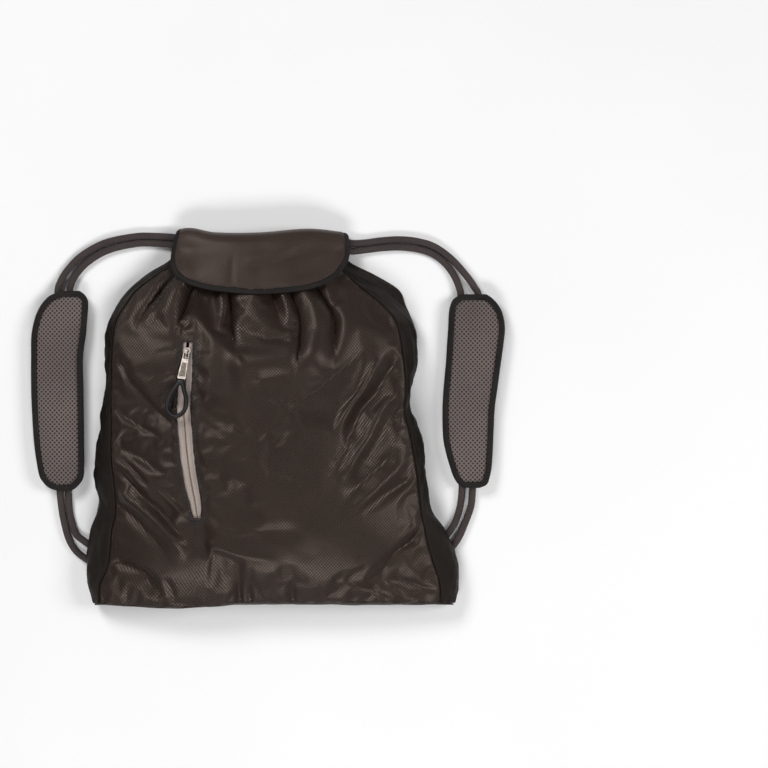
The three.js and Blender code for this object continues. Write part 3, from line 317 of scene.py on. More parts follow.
# Routes of the cords: shares of BAG_WIDTH and BAG_LENGTH, and mm off the floor.
CORD_ROUTES = {
    "cord_left_outer": (
        (-0.243, 0.977, 8.6), (-0.270, 0.982, 6.4), (-0.318, 0.985, 3.8), (-0.374, 0.984, 3.8),
        (-0.457, 0.967, 3.8), (-0.521, 0.933, 3.8), (-0.558, 0.897, 3.8), (-0.580, 0.862, 4.9),
        (-0.588, 0.825, 5.1), (-0.586, 0.70, 5.1), (-0.584, 0.54, 5.1), (-0.581, 0.355, 5.1),
        (-0.581, 0.298, 5.1), (-0.577, 0.25, 3.9), (-0.569, 0.209, 3.8), (-0.557, 0.168, 3.8),
        (-0.537, 0.136, 3.8), (-0.508, 0.114, 3.9), (-0.478, 0.098, 4.4),
    ),
    "cord_left_inner": (
        (-0.243, 0.957, 8.6), (-0.270, 0.962, 6.4), (-0.318, 0.966, 3.8), (-0.374, 0.965, 3.8),
        (-0.450, 0.947, 3.8), (-0.503, 0.917, 3.8), (-0.535, 0.885, 3.8), (-0.551, 0.855, 4.9),
        (-0.555, 0.825, 5.1), (-0.556, 0.70, 5.1), (-0.557, 0.54, 5.1), (-0.558, 0.355, 5.1),
        (-0.558, 0.298, 5.1), (-0.556, 0.25, 3.9), (-0.549, 0.212, 3.8), (-0.536, 0.180, 3.8),
        (-0.504, 0.156, 3.9), (-0.474, 0.140, 4.4),
    ),
    "cord_right_inner": (
        (0.201, 0.956, 8.4), (0.225, 0.945, 6.2), (0.262, 0.948, 3.8), (0.310, 0.954, 3.8),
        (0.360, 0.956, 3.8), (0.410, 0.951, 3.8), (0.450, 0.938, 3.8), (0.484, 0.914, 3.8),
        (0.509, 0.882, 3.8), (0.525, 0.847, 4.9), (0.530, 0.815, 5.1), (0.531, 0.70, 5.1),
        (0.530, 0.54, 5.1), (0.531, 0.38, 5.1), (0.533, 0.306, 5.1), (0.528, 0.258, 3.9),
        (0.516, 0.218, 3.8), (0.498, 0.188, 3.9), (0.472, 0.160, 4.4),
    ),
    "cord_right_outer": (
        (0.201, 0.976, 8.4), (0.225, 0.966, 6.2), (0.262, 0.967, 3.8), (0.310, 0.973, 3.8),
        (0.360, 0.976, 3.8), (0.410, 0.971, 3.8), (0.456, 0.957, 3.8), (0.501, 0.926, 3.8),
        (0.537, 0.888, 3.8), (0.565, 0.851, 4.9), (0.580, 0.815, 5.1), (0.579, 0.70, 5.1),
        (0.572, 0.54, 5.1), (0.565, 0.38, 5.1), (0.562, 0.306, 5.1), (0.558, 0.258, 3.9),
        (0.544, 0.218, 3.8), (0.527, 0.178, 3.8), (0.514, 0.158, 3.8), (0.492, 0.130, 4.4),
    ),
}


def place(p):
    return (Vector(p) + SHIFT) * MM


def lerp(a, b, t):
    return a + (b - a) * t


def smooth(a, b, x):
    t = min(max((x - a) / (b - a), 0), 1)
    return t * t * (3 - 2 * t)


def inside(share, margin):
    """0 at both ends of a span and 1 a margin in from them."""
    return smooth(0, margin, share) * smooth(0, margin, 1 - share)


def read(rows, key, at):
    """A smooth reading of a column between a table's rows."""
    last = len(rows) - 1
    if at <= rows[0]["at"]:
        return rows[0][key]
    if at >= rows[last]["at"]:
        return rows[last][key]
    i = 0
    while rows[i + 1]["at"] < at:
        i += 1

    def slope(k):
        a = rows[max(k - 1, 0)]
        b = rows[min(k + 1, last)]
        return (b[key] - a[key]) / (b["at"] - a["at"])

    h = rows[i + 1]["at"] - rows[i]["at"]
    t = (at - rows[i]["at"]) / h
    s = t * t * (3 - 2 * t)
    ease = h * (t * (1 - t) * (1 - t) * slope(i) - t * t * (1 - t) * slope(i + 1))
    return rows[i][key] * (1 - s) + rows[i + 1][key] * s + ease


def rough(x, y, size, seed):
    """Soft noise from -1 to 1, with bumps about size mm across."""
    return noise.noise(Vector((x / size, y / size, seed)))


# Form of the bag.
def side_x(part, side, at):
    return BAG_WIDTH * read(SECTIONS, f"{part}_{'left' if side < 0 else 'right'}", at)


def seam_z(at):
    return BAG_DEPTH * read(SECTIONS, "seam", at)


def crown_z(at):
    return BAG_DEPTH * read(SECTIONS, "crown", at)


def front_span(at):
    return side_x("seam", 1, at) - side_x("seam", -1, at)


def zip_x(at):
    return side_x("seam", -1, at) + front_span(at) * read(ZIP_LINE, "across", at)


def slot_half(at):
    return TAPE_WIDTH * read(ZIP_LINE, "half", at)


def envelope(x, at):
    u = (x - side_x("seam", -1, at)) / front_span(at)
    return crown_z(at) - (crown_z(at) - seam_z(at)) * abs(2 * u - 1) ** CROWN_POWER


VALLEY_POWER = 1.5
PUFF_POWER = 2
VALLEY_SWELL = 1.5
PUFF_SWELL = 1.2
CREASE_SWELL = 1.9
SPAN_AT_SQUEEZE = front_span(SQUEEZE_FROM)


def gather_height(u, at, span):
    total = 0
    narrow = lerp(1, span / SPAN_AT_SQUEEZE, smooth(SQUEEZE_FROM, SQUEEZE_TO, at))
    for g in GATHERS:
        t = smooth(g["end"], g["end"] + GATHER_FADE, at)
        if t == 0:
            continue
        centre = lerp(g["foot"], g["brow"], min((at - g["end"]) / (BROW_AT - g["end"]), 1))
        d = (u - centre) * span / (g["width"] * BAG_WIDTH * narrow)
        d *= 1 + g["lean"] if d > 0 else 1 - g["lean"]
        power, swell = (VALLEY_POWER, VALLEY_SWELL) if g["rise"] < 0 else (PUFF_POWER, PUFF_SWELL)
        total += t * swell * g["rise"] * BAG_DEPTH * math.exp(-abs(d) ** power)
    return total * lerp(1, MOUTH_CALM, smooth(BROW_AT, SQUEEZE_TO, at))


def fold_height(px, py, ax, ay, bx, by, width, rise, fade):
    """Height of one crease at a point, for a crease from a to b."""
    length = math.hypot(bx - ax, by - ay)
    off = ((px - ax) * (by - ay) - (py - ay) * (bx - ax)) / length / width
    if abs(off) > 3:
        return 0
    along = ((px - ax) * (bx - ax) + (py - ay) * (by - ay)) / length
    ends = smooth(-fade / 2, fade / 2, along) * (1 - smooth(length - fade, length + fade / 2, along))
    power = VALLEY_POWER if rise < 0 else PUFF_POWER
    return rise * ends * math.exp(-abs(off) ** power)


def crease_height(u, at, span):
    x = u * span
    y = at * BAG_LENGTH
    bend = CREASE_BEND * rough(x, y, CREASE_BEND_SIZE, 7)
    total = 0
    for c in CREASES:
        total += fold_height(
            x + bend, y + bend,
            c["across"] * span, c["at"] * BAG_LENGTH,
            c["to_across"] * span, c["to_at"] * BAG_LENGTH,
            c["width"] * BAG_WIDTH, CREASE_SWELL * c["rise"] * BAG_DEPTH, CREASE_FADE * BAG_LENGTH,
        )
    return total


# The folds die away at the seams, the base and the zip. Ripples: height and size in mm.
SEAM_CALM = 0.04
BASE_CALM = 0.006
BASE_SHARE = 0.35
ZIP_CALM = 8
ZIP_HOLD = 0.92
ZIP_RIPPLES = 0.25
RIPPLES = ((1.3, 52), (0.5, 21), (0.15, 8))


def front_z(x, at):
    span = front_span(at)
    u = (x - side_x("seam", -1, at)) / span
    calm = inside(u, SEAM_CALM) * lerp(BASE_SHARE, 1, smooth(0, BASE_CALM, at))
    near = (x - zip_x(at)) / (slot_half(at) + ZIP_CALM)
    zip_calm = 1 - ZIP_HOLD * math.exp(-(near ** 4)) * (1 - smooth(ZIP_TO, ZIP_TO + 0.05, at))
    y = at * BAG_LENGTH
    folds = gather_height(u, at, span) + crease_height(u, at, span)
    ripples = sum(height * rough(x, y, size, k) for k, (height, size) in enumerate(RIPPLES, 1))
    return envelope(x, at) + calm * (zip_calm * folds + lerp(ZIP_RIPPLES, 1, zip_calm) * ripples)


# Meshes.
def build(name, points, faces, uvs):
    """A smooth mesh. uvs has a (u, v) in mm for each corner of each face."""
    mesh = bpy.data.meshes.new(name)
    mesh.from_pydata([place(p) for p in points], [], faces)
    layer = mesh.uv_layers.new(name="cloth")
    layer.data.foreach_set("uv", [c * MM for face in uvs for corner in face for c in corner])
    mesh.polygons.foreach_set("use_smooth", [True] * len(faces))
    mesh.update()
    obj = bpy.data.objects.new(name, mesh)
    bpy.context.scene.collection.objects.link(obj)
    return obj


def grid(name, columns, rows, point, uv, skip=lambda i, j: False):
    """An open sheet of cells. point(i, j) and uv(i, j) are in mm."""
    points = [point(i, j) for j in range(rows + 1) for i in range(columns + 1)]
    marks = [uv(i, j) for j in range(rows + 1) for i in range(columns + 1)]
    faces = []
    for j in range(rows):
        for i in range(columns):
            if not skip(i, j):
                a = j * (columns + 1) + i
                faces.append((a, a + 1, a + columns + 2, a + columns + 1))
    return build(name, points, faces, [[marks[k] for k in face] for face in faces])


def directions(points, closed=False):
    """The unit direction of a path at each of its points."""
    n = len(points)
    found = []
    for k in range(n):
        before, after = ((k - 1) % n, (k + 1) % n) if closed else (max(k - 1, 0), min(k + 1, n - 1))
        found.append((points[after] - points[before]).normalized())
    return found


def distances(points):
    """How far along a path each of its points lies."""
    found = [0]
    for a, b in zip(points, points[1:]):
        found.append(found[-1] + (b - a).length)
    return found


def circle(sides):
    """Cosine and sine of evenly spaced angles."""
    angles = [2 * math.pi * k / sides for k in range(sides)]
    return [(math.cos(a), math.sin(a)) for a in angles]


def inset(points, distance, closed=False):
    """Moves a flat outline to its left."""
    return [
        Vector((p.x - t.y * distance, p.y + t.x * distance, 0))
        for p, t in zip(points, directions(points, closed))
    ]


def tape_rings(outline, section, width, closed, corner):
    """Rings of a folded tape round an outline. corner(x, y, height) places one of their points."""
    lines = [inset(outline, width * share, closed) for share, _ in section]
    return [
        [corner(line[k].x, line[k].y, height) for (_, height), line in zip(section, lines)]
        for k in range(len(outline))
    ]


def tube(name, rings, loop=False):
    """A closed tube through rings of points, with u along it and v round it."""
    n = len(rings[0])
    points = [p for ring in rings for p in ring]
    faces = []
    uvs = []
    count = len(rings) if loop else len(rings) - 1
    along = distances([rings[k % len(rings)][0] for k in range(count + 1)])
    middle = rings[len(rings) // 2]
    around = distances([*middle, middle[0]])
    for k in range(count):
        a = k * n
        b = ((k + 1) % len(rings)) * n
        for i in range(n):
            j = (i + 1) % n
            faces.append((a + i, a + j, b + j, b + i))
            low, high = around[i], around[i + 1]
            uvs.append(((along[k], low), (along[k], high), (along[k + 1], high), (along[k + 1], low)))
    if not loop:
        last = (len(rings) - 1) * n
        faces.append(tuple(range(n)))
        faces.append(tuple(range(last, last + n)))
        uvs.extend([[(0, 0)] * n] * 2)
    return face_out(build(name, points, faces, uvs))


def face_out(obj):
    edit = bmesh.new()
    edit.from_mesh(obj.data)
    bmesh.ops.recalc_face_normals(edit, faces=edit.faces)
    edit.to_mesh(obj.data)
    edit.free()
    return obj


def bake(obj):
    """Keeps what the modifiers make as the object's own mesh."""
    result = bpy.data.meshes.new_from_object(
        obj.evaluated_get(bpy.context.evaluated_depsgraph_get())
    )
    obj.modifiers.clear()
    obj.data = result
    return obj


def thicken(obj, thickness, offset=-1):
    """Gives an open sheet its cloth's thickness. The sheet is the outer face."""
    solid = obj.modifiers.new("wall", "SOLIDIFY")
    solid.thickness = thickness * MM
    solid.offset = offset
    return face_out(bake(obj))


CLOTH_SETTINGS = {
    "quality": 5,
    "mass": 0.2,
    "tension_stiffness": 20,
    "compression_stiffness": 20,
    "shear_stiffness": 8,
    "bending_stiffness": 0.8,
    "tension_damping": 8,
    "compression_damping": 8,
    "shear_damping": 8,
    "bending_damping": 1,
    "air_damping": 4,
    "pin_stiffness": 1,
    "vertex_group_mass": "pins",
    "use_pressure": True,
}


def settle(obj, pins, grow, pressure, frames, cap):
    """Relaxes a sheet as cloth that is a little too large for its seams, and keeps its shape.

    grow is how much too large, pressure lifts the cloth off the bag's middle and cap is the
    furthest that a point may move, in mm.
    """
    group = obj.vertex_groups.new(name="pins")
    group.add(pins, 1, "REPLACE")
    start = [v.co.copy() for v in obj.data.vertices]
    cloth = obj.modifiers.new("cloth", "CLOTH")
    settings = cloth.settings
    for key, value in CLOTH_SETTINGS.items():
        setattr(settings, key, value)
    settings.shrink_min = settings.shrink_max = -grow
    settings.uniform_pressure_force = pressure
    settings.effector_weights.gravity = 0
    cloth.point_cache.frame_start = 1
    cloth.point_cache.frame_end = frames
    scene = bpy.context.scene
    for k in range(1, frames + 1):
        scene.frame_set(k)
    shaped = obj.evaluated_get(bpy.context.evaluated_depsgraph_get()).to_mesh()
    moved = []
    for k, v in enumerate(shaped.vertices):
        step = v.co - start[k]
        if step.length > cap * MM:
            step *= cap * MM / step.length
        moved.append(start[k] + step)
    obj.modifiers.clear()
    obj.vertex_groups.clear()
    for v, co in zip(obj.data.vertices, moved):
        v.co = co
    obj.data.update()
    scene.frame_set(1)
    return obj


def dress(obj, surface, nodes=(), body="bag"):
    """Gives a piece its finish, its body and the nodes that it stands for."""
    obj.data.materials.clear()
    obj.data.materials.append(surface)
    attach(obj, body)
    if nodes:
        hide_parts(*nodes)
    return obj


def join_meshes(name, parts):
    """Points and faces of many small closed shapes, as one mesh."""
    points = []
    faces = []
    for shape_points, shape_faces in parts:
        base = len(points)
        points.extend(shape_points)
        faces.extend(tuple(base + k for k in face) for face in shape_faces)
    return face_out(build(name, points, faces, [[(0, 0)] * len(face) for face in faces]))


# A stitch's shape: share of its length and of its radius.
BEAD_PROFILE = ((0, 0.25), (0.18, 0.9), (0.5, 1), (0.82, 0.9), (1, 0.25))


def bead(start, end, radius, up, sides=6):
    """A small rounded stitch from start to end. up points off its cloth."""
    line = end - start
    along = line.normalized()
    across = along.cross(up).normalized()
    lift = across.cross(along)
    points = []
    for t, r in BEAD_PROFILE:
        middle = start + line * t
        for c, s in circle(sides):
            points.append(middle + across * (radius * r * c) + lift * (radius * r * s))
    last = len(points) - sides
    faces = [tuple(range(sides)), tuple(range(last, last + sides))]
    for ring in range(0, last, sides):
        for k in range(sides):
            j = (k + 1) % sides
            faces.append((ring + k, ring + j, ring + sides + j, ring + sides + k))
    return points, faces


def walk(path, length, gap):
    """Start and end of each stitch along a path of (point, normal) pairs."""
    steps = distances([point for point, _ in path])

    def at(distance):
        k = 0
        while k < len(steps) - 2 and steps[k + 1] < distance:
            k += 1
        t = (distance - steps[k]) / max(steps[k + 1] - steps[k], 1e-6)
        return path[k][0].lerp(path[k + 1][0], t), path[k][1]

    found = []
    place_at = gap
    while place_at + length < steps[-1]:
        start, up = at(place_at)
        end, _ = at(place_at + length)
        found.append((start, end, up))
        place_at += length + gap
    return found


def stitch_row(paths, length, gap, radius, jitter=0, seed=1):
    draw = random.Random(seed)
    parts = []
    for path in paths:
        for start, end, up in walk(path, length, gap):
            side = (end - start).cross(up).normalized()
            shift = side * (jitter * (draw.random() - 0.5))
            turn = side * (jitter * (draw.random() - 0.5))
            parts.append(bead(start + shift + up * 0.05, end + shift + turn + up * 0.05, radius, up))
    return parts


class Drape:
    """Finds points on a finished piece from straight above."""

    def __init__(self, obj):
        self.tree = BVHTree.FromPolygons(
            [v.co.copy() for v in obj.data.vertices], [p.vertices[:] for p in obj.data.polygons]
        )

    def at(self, x, y):
        start = place((x, y, 3 * BAG_DEPTH))
        hit, normal, _, _ = self.tree.ray_cast(start, -UP)
        if hit is None:
            return None
        if normal.z < 0:
            normal = -normal
        return hit / MM - SHIFT, normal

    def path(self, points):
        found = [self.at(x, y) for x, y in points]
        return [f for f in found if f]


# Finishes.
class Finish:
    """A node material on one Principled shader, with short ways to add nodes."""

    def __init__(self, name, **fixed):
        self.material = bpy.data.materials.new(name)
        self.material.use_nodes = True
        self.tree = self.material.node_tree
        self.shader = self.tree.nodes["Principled BSDF"]
        for socket, value in fixed.items():
            self.shader.inputs[socket.replace("_", " ")].default_value = value
        coordinates = self.tree.nodes.new("ShaderNodeUVMap")
        coordinates.uv_map = "cloth"
        split = self.tree.nodes.new("ShaderNodeSeparateXYZ")
        self.tree.links.new(coordinates.outputs[0], split.inputs[0])
        self.u = self.math("MULTIPLY", split.outputs[0], 1 / MM)
        self.v = self.math("MULTIPLY", split.outputs[1], 1 / MM)
        self.place = self.tree.nodes.new("ShaderNodeTexCoord").outputs["Object"]

    def link(self, socket, value):
        if isinstance(value, bpy.types.NodeSocket):
            self.tree.links.new(value, socket)
        else:
            socket.default_value = value

    def math(self, operation, a, b=0.0, c=None):
        node = self.tree.nodes.new("ShaderNodeMath")
        node.operation = operation
        self.link(node.inputs[0], a)
        self.link(node.inputs[1], b)
        if c is not None:
            self.link(node.inputs[2], c)
        return node.outputs[0]

    def ramp(self, value, low, high, out_low=0.0, out_high=1.0):
        node = self.tree.nodes.new("ShaderNodeMapRange")
        node.interpolation_type = "SMOOTHSTEP"
        self.link(node.inputs["Value"], value)
        ends = {"From Min": low, "From Max": high, "To Min": out_low, "To Max": out_high}
        for socket, number in ends.items():
            node.inputs[socket].default_value = number
        return node.outputs["Result"]

    def mix(self, share, a, b):
        node = self.tree.nodes.new("ShaderNodeMix")
        node.data_type = "RGBA"
        self.link(node.inputs["Factor"], share)
        colours = [s for s in node.inputs if s.type == "RGBA"]
        self.link(colours[0], a)
        self.link(colours[1], b)
        return [s for s in node.outputs if s.type == "RGBA"][0]

    def cloud(self, scale, detail):
        node = self.tree.nodes.new("ShaderNodeTexNoise")
        self.tree.links.new(self.place, node.inputs["Vector"])
        node.inputs["Scale"].default_value = scale
        node.inputs["Detail"].default_value = detail
        return node.outputs["Fac"]

    def blend(self, scale, detail, a, b, low=0.3, high=0.7):
        """Two colours in soft patches."""
        return self.mix(self.ramp(self.cloud(scale, detail), low, high), a, b)

    def wave(self, value, pitch):
        return self.math("COSINE", self.math("MULTIPLY", value, 2 * math.pi / pitch))

    def lattice(self, pitch_u, pitch_v):
        """1 at the points of a staggered lattice and -1 between them."""
        return self.math("MULTIPLY", self.wave(self.u, pitch_u), self.wave(self.v, pitch_v))

    def bump(self, height, distance):
        node = self.tree.nodes.new("ShaderNodeBump")
        node.inputs["Strength"].default_value = 1
        node.inputs["Distance"].default_value = distance * MM
        self.link(node.inputs["Height"], height)
        self.link(self.shader.inputs["Normal"], node.outputs[0])

    def colour(self, value):
        self.link(self.shader.inputs["Base Color"], value)

    def roughness(self, value):
        self.link(self.shader.inputs["Roughness"], value)


def srgb(red, green, blue):
    """Linear colour from 0 to 255 display values."""
    channels = []
    for value in (red, green, blue):
        c = value / 255
        channels.append(c / 12.92 if c <= 0.04045 else ((c + 0.055) / 1.055) ** 2.4)
    return (*channels, 1)


def tint(colour, factor):
    return (*(c * factor for c in colour[:3]), 1)


def woven(name, thread, hollow_shade, pitch_u, pitch_v, depth, **fixed):
    """Cloth with a staggered lattice of small dips between its yarns; the near-black colour in the dips is
    painted shade.
    """
    f = Finish(name, **fixed)
    holes = f.ramp(f.lattice(pitch_u, pitch_v), -0.3, 0.6)
    patchy = f.cloud(28, 4)
    base = f.blend(7, 2, thread, tint(thread, 1.22))
    worn = f.mix(f.ramp(patchy, 0.35, 0.75, 0, 0.35), base, tint(thread, 1.5))
    # Painted shade: the sunken points of the lattice are mixed towards a near-black colour.
    f.colour(f.mix(f.math("MULTIPLY", holes, 0.9), worn, hollow_shade))
    grain = f.math("MULTIPLY", f.wave(f.u, 0.55), f.wave(f.v, 0.55))
    f.bump(f.math("MULTIPLY_ADD", grain, 0.08, f.math("MULTIPLY", holes, -1)), depth)
    f.roughness(f.math("MULTIPLY_ADD", holes, 0.35, f.ramp(patchy, 0.2, 0.8, 0.26, 0.34)))
    return f.material


def plain_cloth(name, light, dark, pitch, depth, **fixed):
    """Dark plain-woven cloth with a faint rib."""
    f = Finish(name, **fixed)
    rib = f.math("MULTIPLY", f.wave(f.u, pitch), f.wave(f.v, pitch))
    shade = f.blend(22, 4, light, dark)
    f.colour(f.mix(f.ramp(rib, -0.4, 0.8, 0, 0.5), shade, dark))
    f.bump(rib, depth)
    return f.material


def binding_cloth(name, light, dark):
    """Folded tape with a fine diagonal rib."""
    f = Finish(name, Roughness=0.75, Specular_IOR_Level=0.35)
    rib = f.wave(f.math("ADD", f.u, f.v), 1.4)
    shade = f.blend(35, 3, light, dark)
    f.colour(f.mix(f.ramp(rib, -0.2, 0.9, 0, 0.6), shade, dark))
    f.bump(rib, 0.12)
    return f.material


def mesh_cloth(name, thread, hole_shade, pitch_u, pitch_v):
    """Knitted spacer mesh with staggered open gaps, painted dark inside as shade."""
    f = Finish(name, Roughness=0.85, Specular_IOR_Level=0.35)
    holes = f.ramp(f.lattice(pitch_u, pitch_v), 0.1, 0.62)
    yarn = f.math("MULTIPLY", f.wave(f.u, 0.9), f.wave(f.v, 0.7))
    shade = f.mix(f.ramp(yarn, -0.6, 0.8, 0, 0.35), thread, tint(thread, 0.6))
    # Painted shade: the open gaps are mixed towards a dark colour.
    f.colour(f.mix(holes, f.blend(14, 3, shade, tint(thread, 1.2)), hole_shade))
    f.bump(f.math("MULTIPLY_ADD", yarn, 0.15, f.math("MULTIPLY", holes, -1)), 0.3)
    return f.material


def cord_cloth(name, light, dark):
    """Soft braided cord; the grooves between its strands are painted dark as shade."""
    f = Finish(name, Roughness=0.8, Specular_IOR_Level=0.35)
    left = f.wave(f.math("ADD", f.u, f.v), 1.5)
    right = f.wave(f.math("SUBTRACT", f.u, f.v), 1.5)
    braid = f.math("MAXIMUM", left, right)
    shade = f.blend(26, 3, light, tint(light, 0.8))
    # Painted shade: the grooves where both strands run low are mixed towards the dark colour.
    f.colour(f.mix(f.ramp(braid, -0.8, 0.6, 1, 0), shade, dark))
    f.bump(braid, 0.2)
    return f.material


def tape_cloth(name, light, dark):
    """Zip tape with fine woven rows."""
    f = Finish(name, Roughness=0.7, Sheen_Weight=0.2, Sheen_Roughness=0.4)
    rows = f.wave(f.v, 0.8)
    chevron = f.wave(f.math("ADD", f.v, f.math("ABSOLUTE", f.wave(f.u, 4.4))), 1.3)
    shade = f.blend(30, 3, light, tint(light, 0.88))
    f.colour(f.mix(f.ramp(chevron, -0.3, 0.9, 0, 0.4), shade, dark))
    f.bump(f.math("ADD", rows, chevron), 0.12)
    return f.material


def thread(name, colour):
    f = Finish(name, Roughness=0.7, Sheen_Weight=0.2)
    f.colour(f.blend(300, 2, colour, tint(colour, 0.7), 0.35, 0.65))
    return f.material


def metal(name, colour, rough_low, rough_high):
    """Plated metal with faint wear."""
    f = Finish(name, Metallic=1)
    worn = f.cloud(160, 3)
    f.colour(f.mix(f.ramp(worn, 0.35, 0.7), colour, tint(colour, 0.85)))
    f.roughness(f.ramp(worn, 0.3, 0.7, rough_low, rough_high))
    return f.material


def rubber(name, light, dark):
    f = Finish(name, Roughness=0.45, Specular_IOR_Level=0.35)
    pores = f.cloud(600, 3)
    f.colour(f.mix(f.ramp(pores, 0.3, 0.7), light, dark))
    f.bump(pores, 0.06)
    return f.material


# Tint of the cloths' gloss, and the pitch of the mesh's holes in mm.
GLOSS = (1, 0.82, 0.72, 1)
MESH_U = 4.4
MESH_V = 4.6
# The second colour of each nylon is painted shade in the dips of its weave.
NYLON = woven(
    "brown_nylon", srgb(41, 32, 27), srgb(4, 3, 3), 3.1, 3.4, 0.13,
    Specular_IOR_Level=0.44, Specular_Tint=GLOSS,
)
FLAP_NYLON = woven(
    "flap_nylon", srgb(56, 45, 40), srgb(20, 16, 14), 2.4, 2.4, 0.14,
    Specular_IOR_Level=0.4, Specular_Tint=GLOSS,
)
BLACK_CLOTH = plain_cloth(
    "black_cloth", srgb(30, 25, 22), srgb(17, 14, 12), 0.9, 0.06,
    Roughness=0.55, Specular_IOR_Level=0.2, Specular_Tint=GLOSS,
)
BINDING = binding_cloth("binding_cloth", srgb(33, 28, 26), srgb(18, 15, 14))
# Second colour: painted shade in the mesh's open gaps.
MESH_CLOTH = mesh_cloth("air_mesh", srgb(106, 96, 93), srgb(46, 38, 36), MESH_U, MESH_V)
# Second colour: painted shade in the grooves between the cord's strands.
CORD_CLOTH = cord_cloth("cord_cloth", srgb(82, 72, 71), srgb(44, 38, 37))
TAPE = tape_cloth("zip_tape", srgb(206, 190, 180), srgb(146, 130, 121))
METAL = metal("zip_metal", srgb(150, 141, 134), 0.3, 0.42)
PULL_RUBBER = rubber("black_pull_cord", srgb(22, 21, 23), srgb(12, 12, 13))
PANEL_RUBBER = rubber("tab_panel", srgb(138, 126, 114), srgb(98, 88, 79))
DARK_THREAD = thread("dark_thread", srgb(20, 16, 15))
BROWN_THREAD = thread("brown_thread", srgb(88, 72, 64))
TAPE_THREAD = thread("tape_thread", srgb(150, 140, 132))


# Camera straight above, where one pixel of the photograph is one millimetre on the floor.
PHOTO_MIDDLE = Vector((114, 217, 0))
CAMERA_HEIGHT = 2.4
PHOTO_WIDTH = 0.768
camera_data = bpy.data.cameras.new("camera")
camera_data.sensor_width = 36
camera_data.lens = camera_data.sensor_width * CAMERA_HEIGHT / PHOTO_WIDTH
camera = bpy.data.objects.new("camera", camera_data)
camera.location = place(PHOTO_MIDDLE) + Vector((0, 0, CAMERA_HEIGHT))
bpy.context.scene.collection.objects.link(camera)
bpy.context.scene.camera = camera


# Cords.
CORD_SIDES = 14
CORD_STEPS = 7


def spline(points, steps):
    """Catmull-Rom points through a list, in mm."""
    found = []
    last = len(points) - 1
    for k in range(last):
        a, b, c, d = (points[min(max(k + o, 0), last)] for o in (-1, 0, 1, 2))
        for s in range(steps):
            t = s / steps
            found.append(
                0.5 * (2 * b + (c - a) * t + (2 * a - 5 * b + 4 * c - d) * t ** 2
                       + (3 * b - a - 3 * c + d) * t ** 3)
            )
    found.append(points[-1].copy())
    return found


def round_rings(path, radius, sides):
    """Round rings along a path, kept upright."""
    rings = []
    for p, tangent in zip(path, directions(path)):
        across = tangent.cross(UP).normalized()
        up = across.cross(tangent)
        rings.append([p + across * (radius * c) + up * (radius * s) for c, s in circle(sides)])
    return rings


def make_cord(name, route):
    path = spline([Vector((a * BAG_WIDTH, b * BAG_LENGTH, z)) for a, b, z in route], CORD_STEPS)
    length = distances(path)[-1]
    obj = dress(tube(f"{name}_braid", round_rings(path, CORD / 2, CORD_SIDES)), CORD_CLOTH, [name])
    place(path[0])
    [place(p) for p in path]


for cord_name, cord_route in CORD_ROUTES.items():
    make_cord(cord_name, cord_route)


# Front panel: one sheet with a slot for the zip, pinned at its seams and relaxed as cloth.
LEFT_CELLS = 38
SLOT_CELLS = 4
RIGHT_CELLS = 100
LOW_ROWS = 38
ZIP_ROWS = 76
HIGH_ROWS = 46
FRONT_COLUMNS = LEFT_CELLS + SLOT_CELLS + RIGHT_CELLS
FRONT_ROWS = LOW_ROWS + ZIP_ROWS + HIGH_ROWS
FRONT_CUT = (318, 350)
PINCH = 1.5
PUCKER = 1.3
PUCKER_SIZE = 5.5
PUCKER_CELLS = 2.2


def front_at(j):
    if j <= LOW_ROWS:
        return ZIP_FROM * j / LOW_ROWS
    if j <= LOW_ROWS + ZIP_ROWS:
        return lerp(ZIP_FROM, ZIP_TO, (j - LOW_ROWS) / ZIP_ROWS)
    return lerp(ZIP_TO, MOUTH_AT, (j - LOW_ROWS - ZIP_ROWS) / HIGH_ROWS)


def front_x(i, at):
    if i <= LEFT_CELLS:
        return lerp(side_x("seam", -1, at), zip_x(at) - slot_half(at), i / LEFT_CELLS)
    if i >= LEFT_CELLS + SLOT_CELLS:
        share = (i - LEFT_CELLS - SLOT_CELLS) / RIGHT_CELLS
        return lerp(zip_x(at) + slot_half(at), side_x("seam", 1, at), share)
    return zip_x(at) + slot_half(at) * lerp(-1, 1, (i - LEFT_CELLS) / SLOT_CELLS)


def pinch(u, at):
    """How far a point slides towards the nearest valley, so that valleys are narrow and puffs wide."""
    span = front_span(at)
    slope = gather_height(u + 0.5 / span, at, span) - gather_height(u - 0.5 / span, at, span)
    return PINCH * slope * inside(u, SEAM_CALM)


def front_point(i, j):
    at = front_at(j)
    x = front_x(i, at)
    u = (x - side_x("seam", -1, at)) / front_span(at)
    drop = BAG_LENGTH * read(BASE_EDGE, "drop", u) * (1 - smooth(0, 0.08, at))
    edge = min(abs(i - LEFT_CELLS), abs(i - LEFT_CELLS - SLOT_CELLS))
    in_zip = smooth(ZIP_FROM - 0.01, ZIP_FROM + 0.01, at) * (1 - smooth(ZIP_TO - 0.01, ZIP_TO + 0.02, at))
    pucker = in_zip * math.exp(-((edge / PUCKER_CELLS) ** 2)) * PUCKER
    pucker *= rough(x, at * BAG_LENGTH, PUCKER_SIZE, 11)
    return Vector((x + 0.6 * pucker - pinch(u, at), at * BAG_LENGTH - drop, front_z(x, at) + pucker))


def front_uv(i, j):
    at = front_at(j)
    share = (front_x(i, at) - side_x("seam", -1, at)) / front_span(at)
    return share * lerp(FRONT_CUT[0], front_span(at), 0.35), at * BAG_LENGTH


def in_slot(i, j):
    return LEFT_CELLS <= i < LEFT_CELLS + SLOT_CELLS and LOW_ROWS <= j < LOW_ROWS + ZIP_ROWS


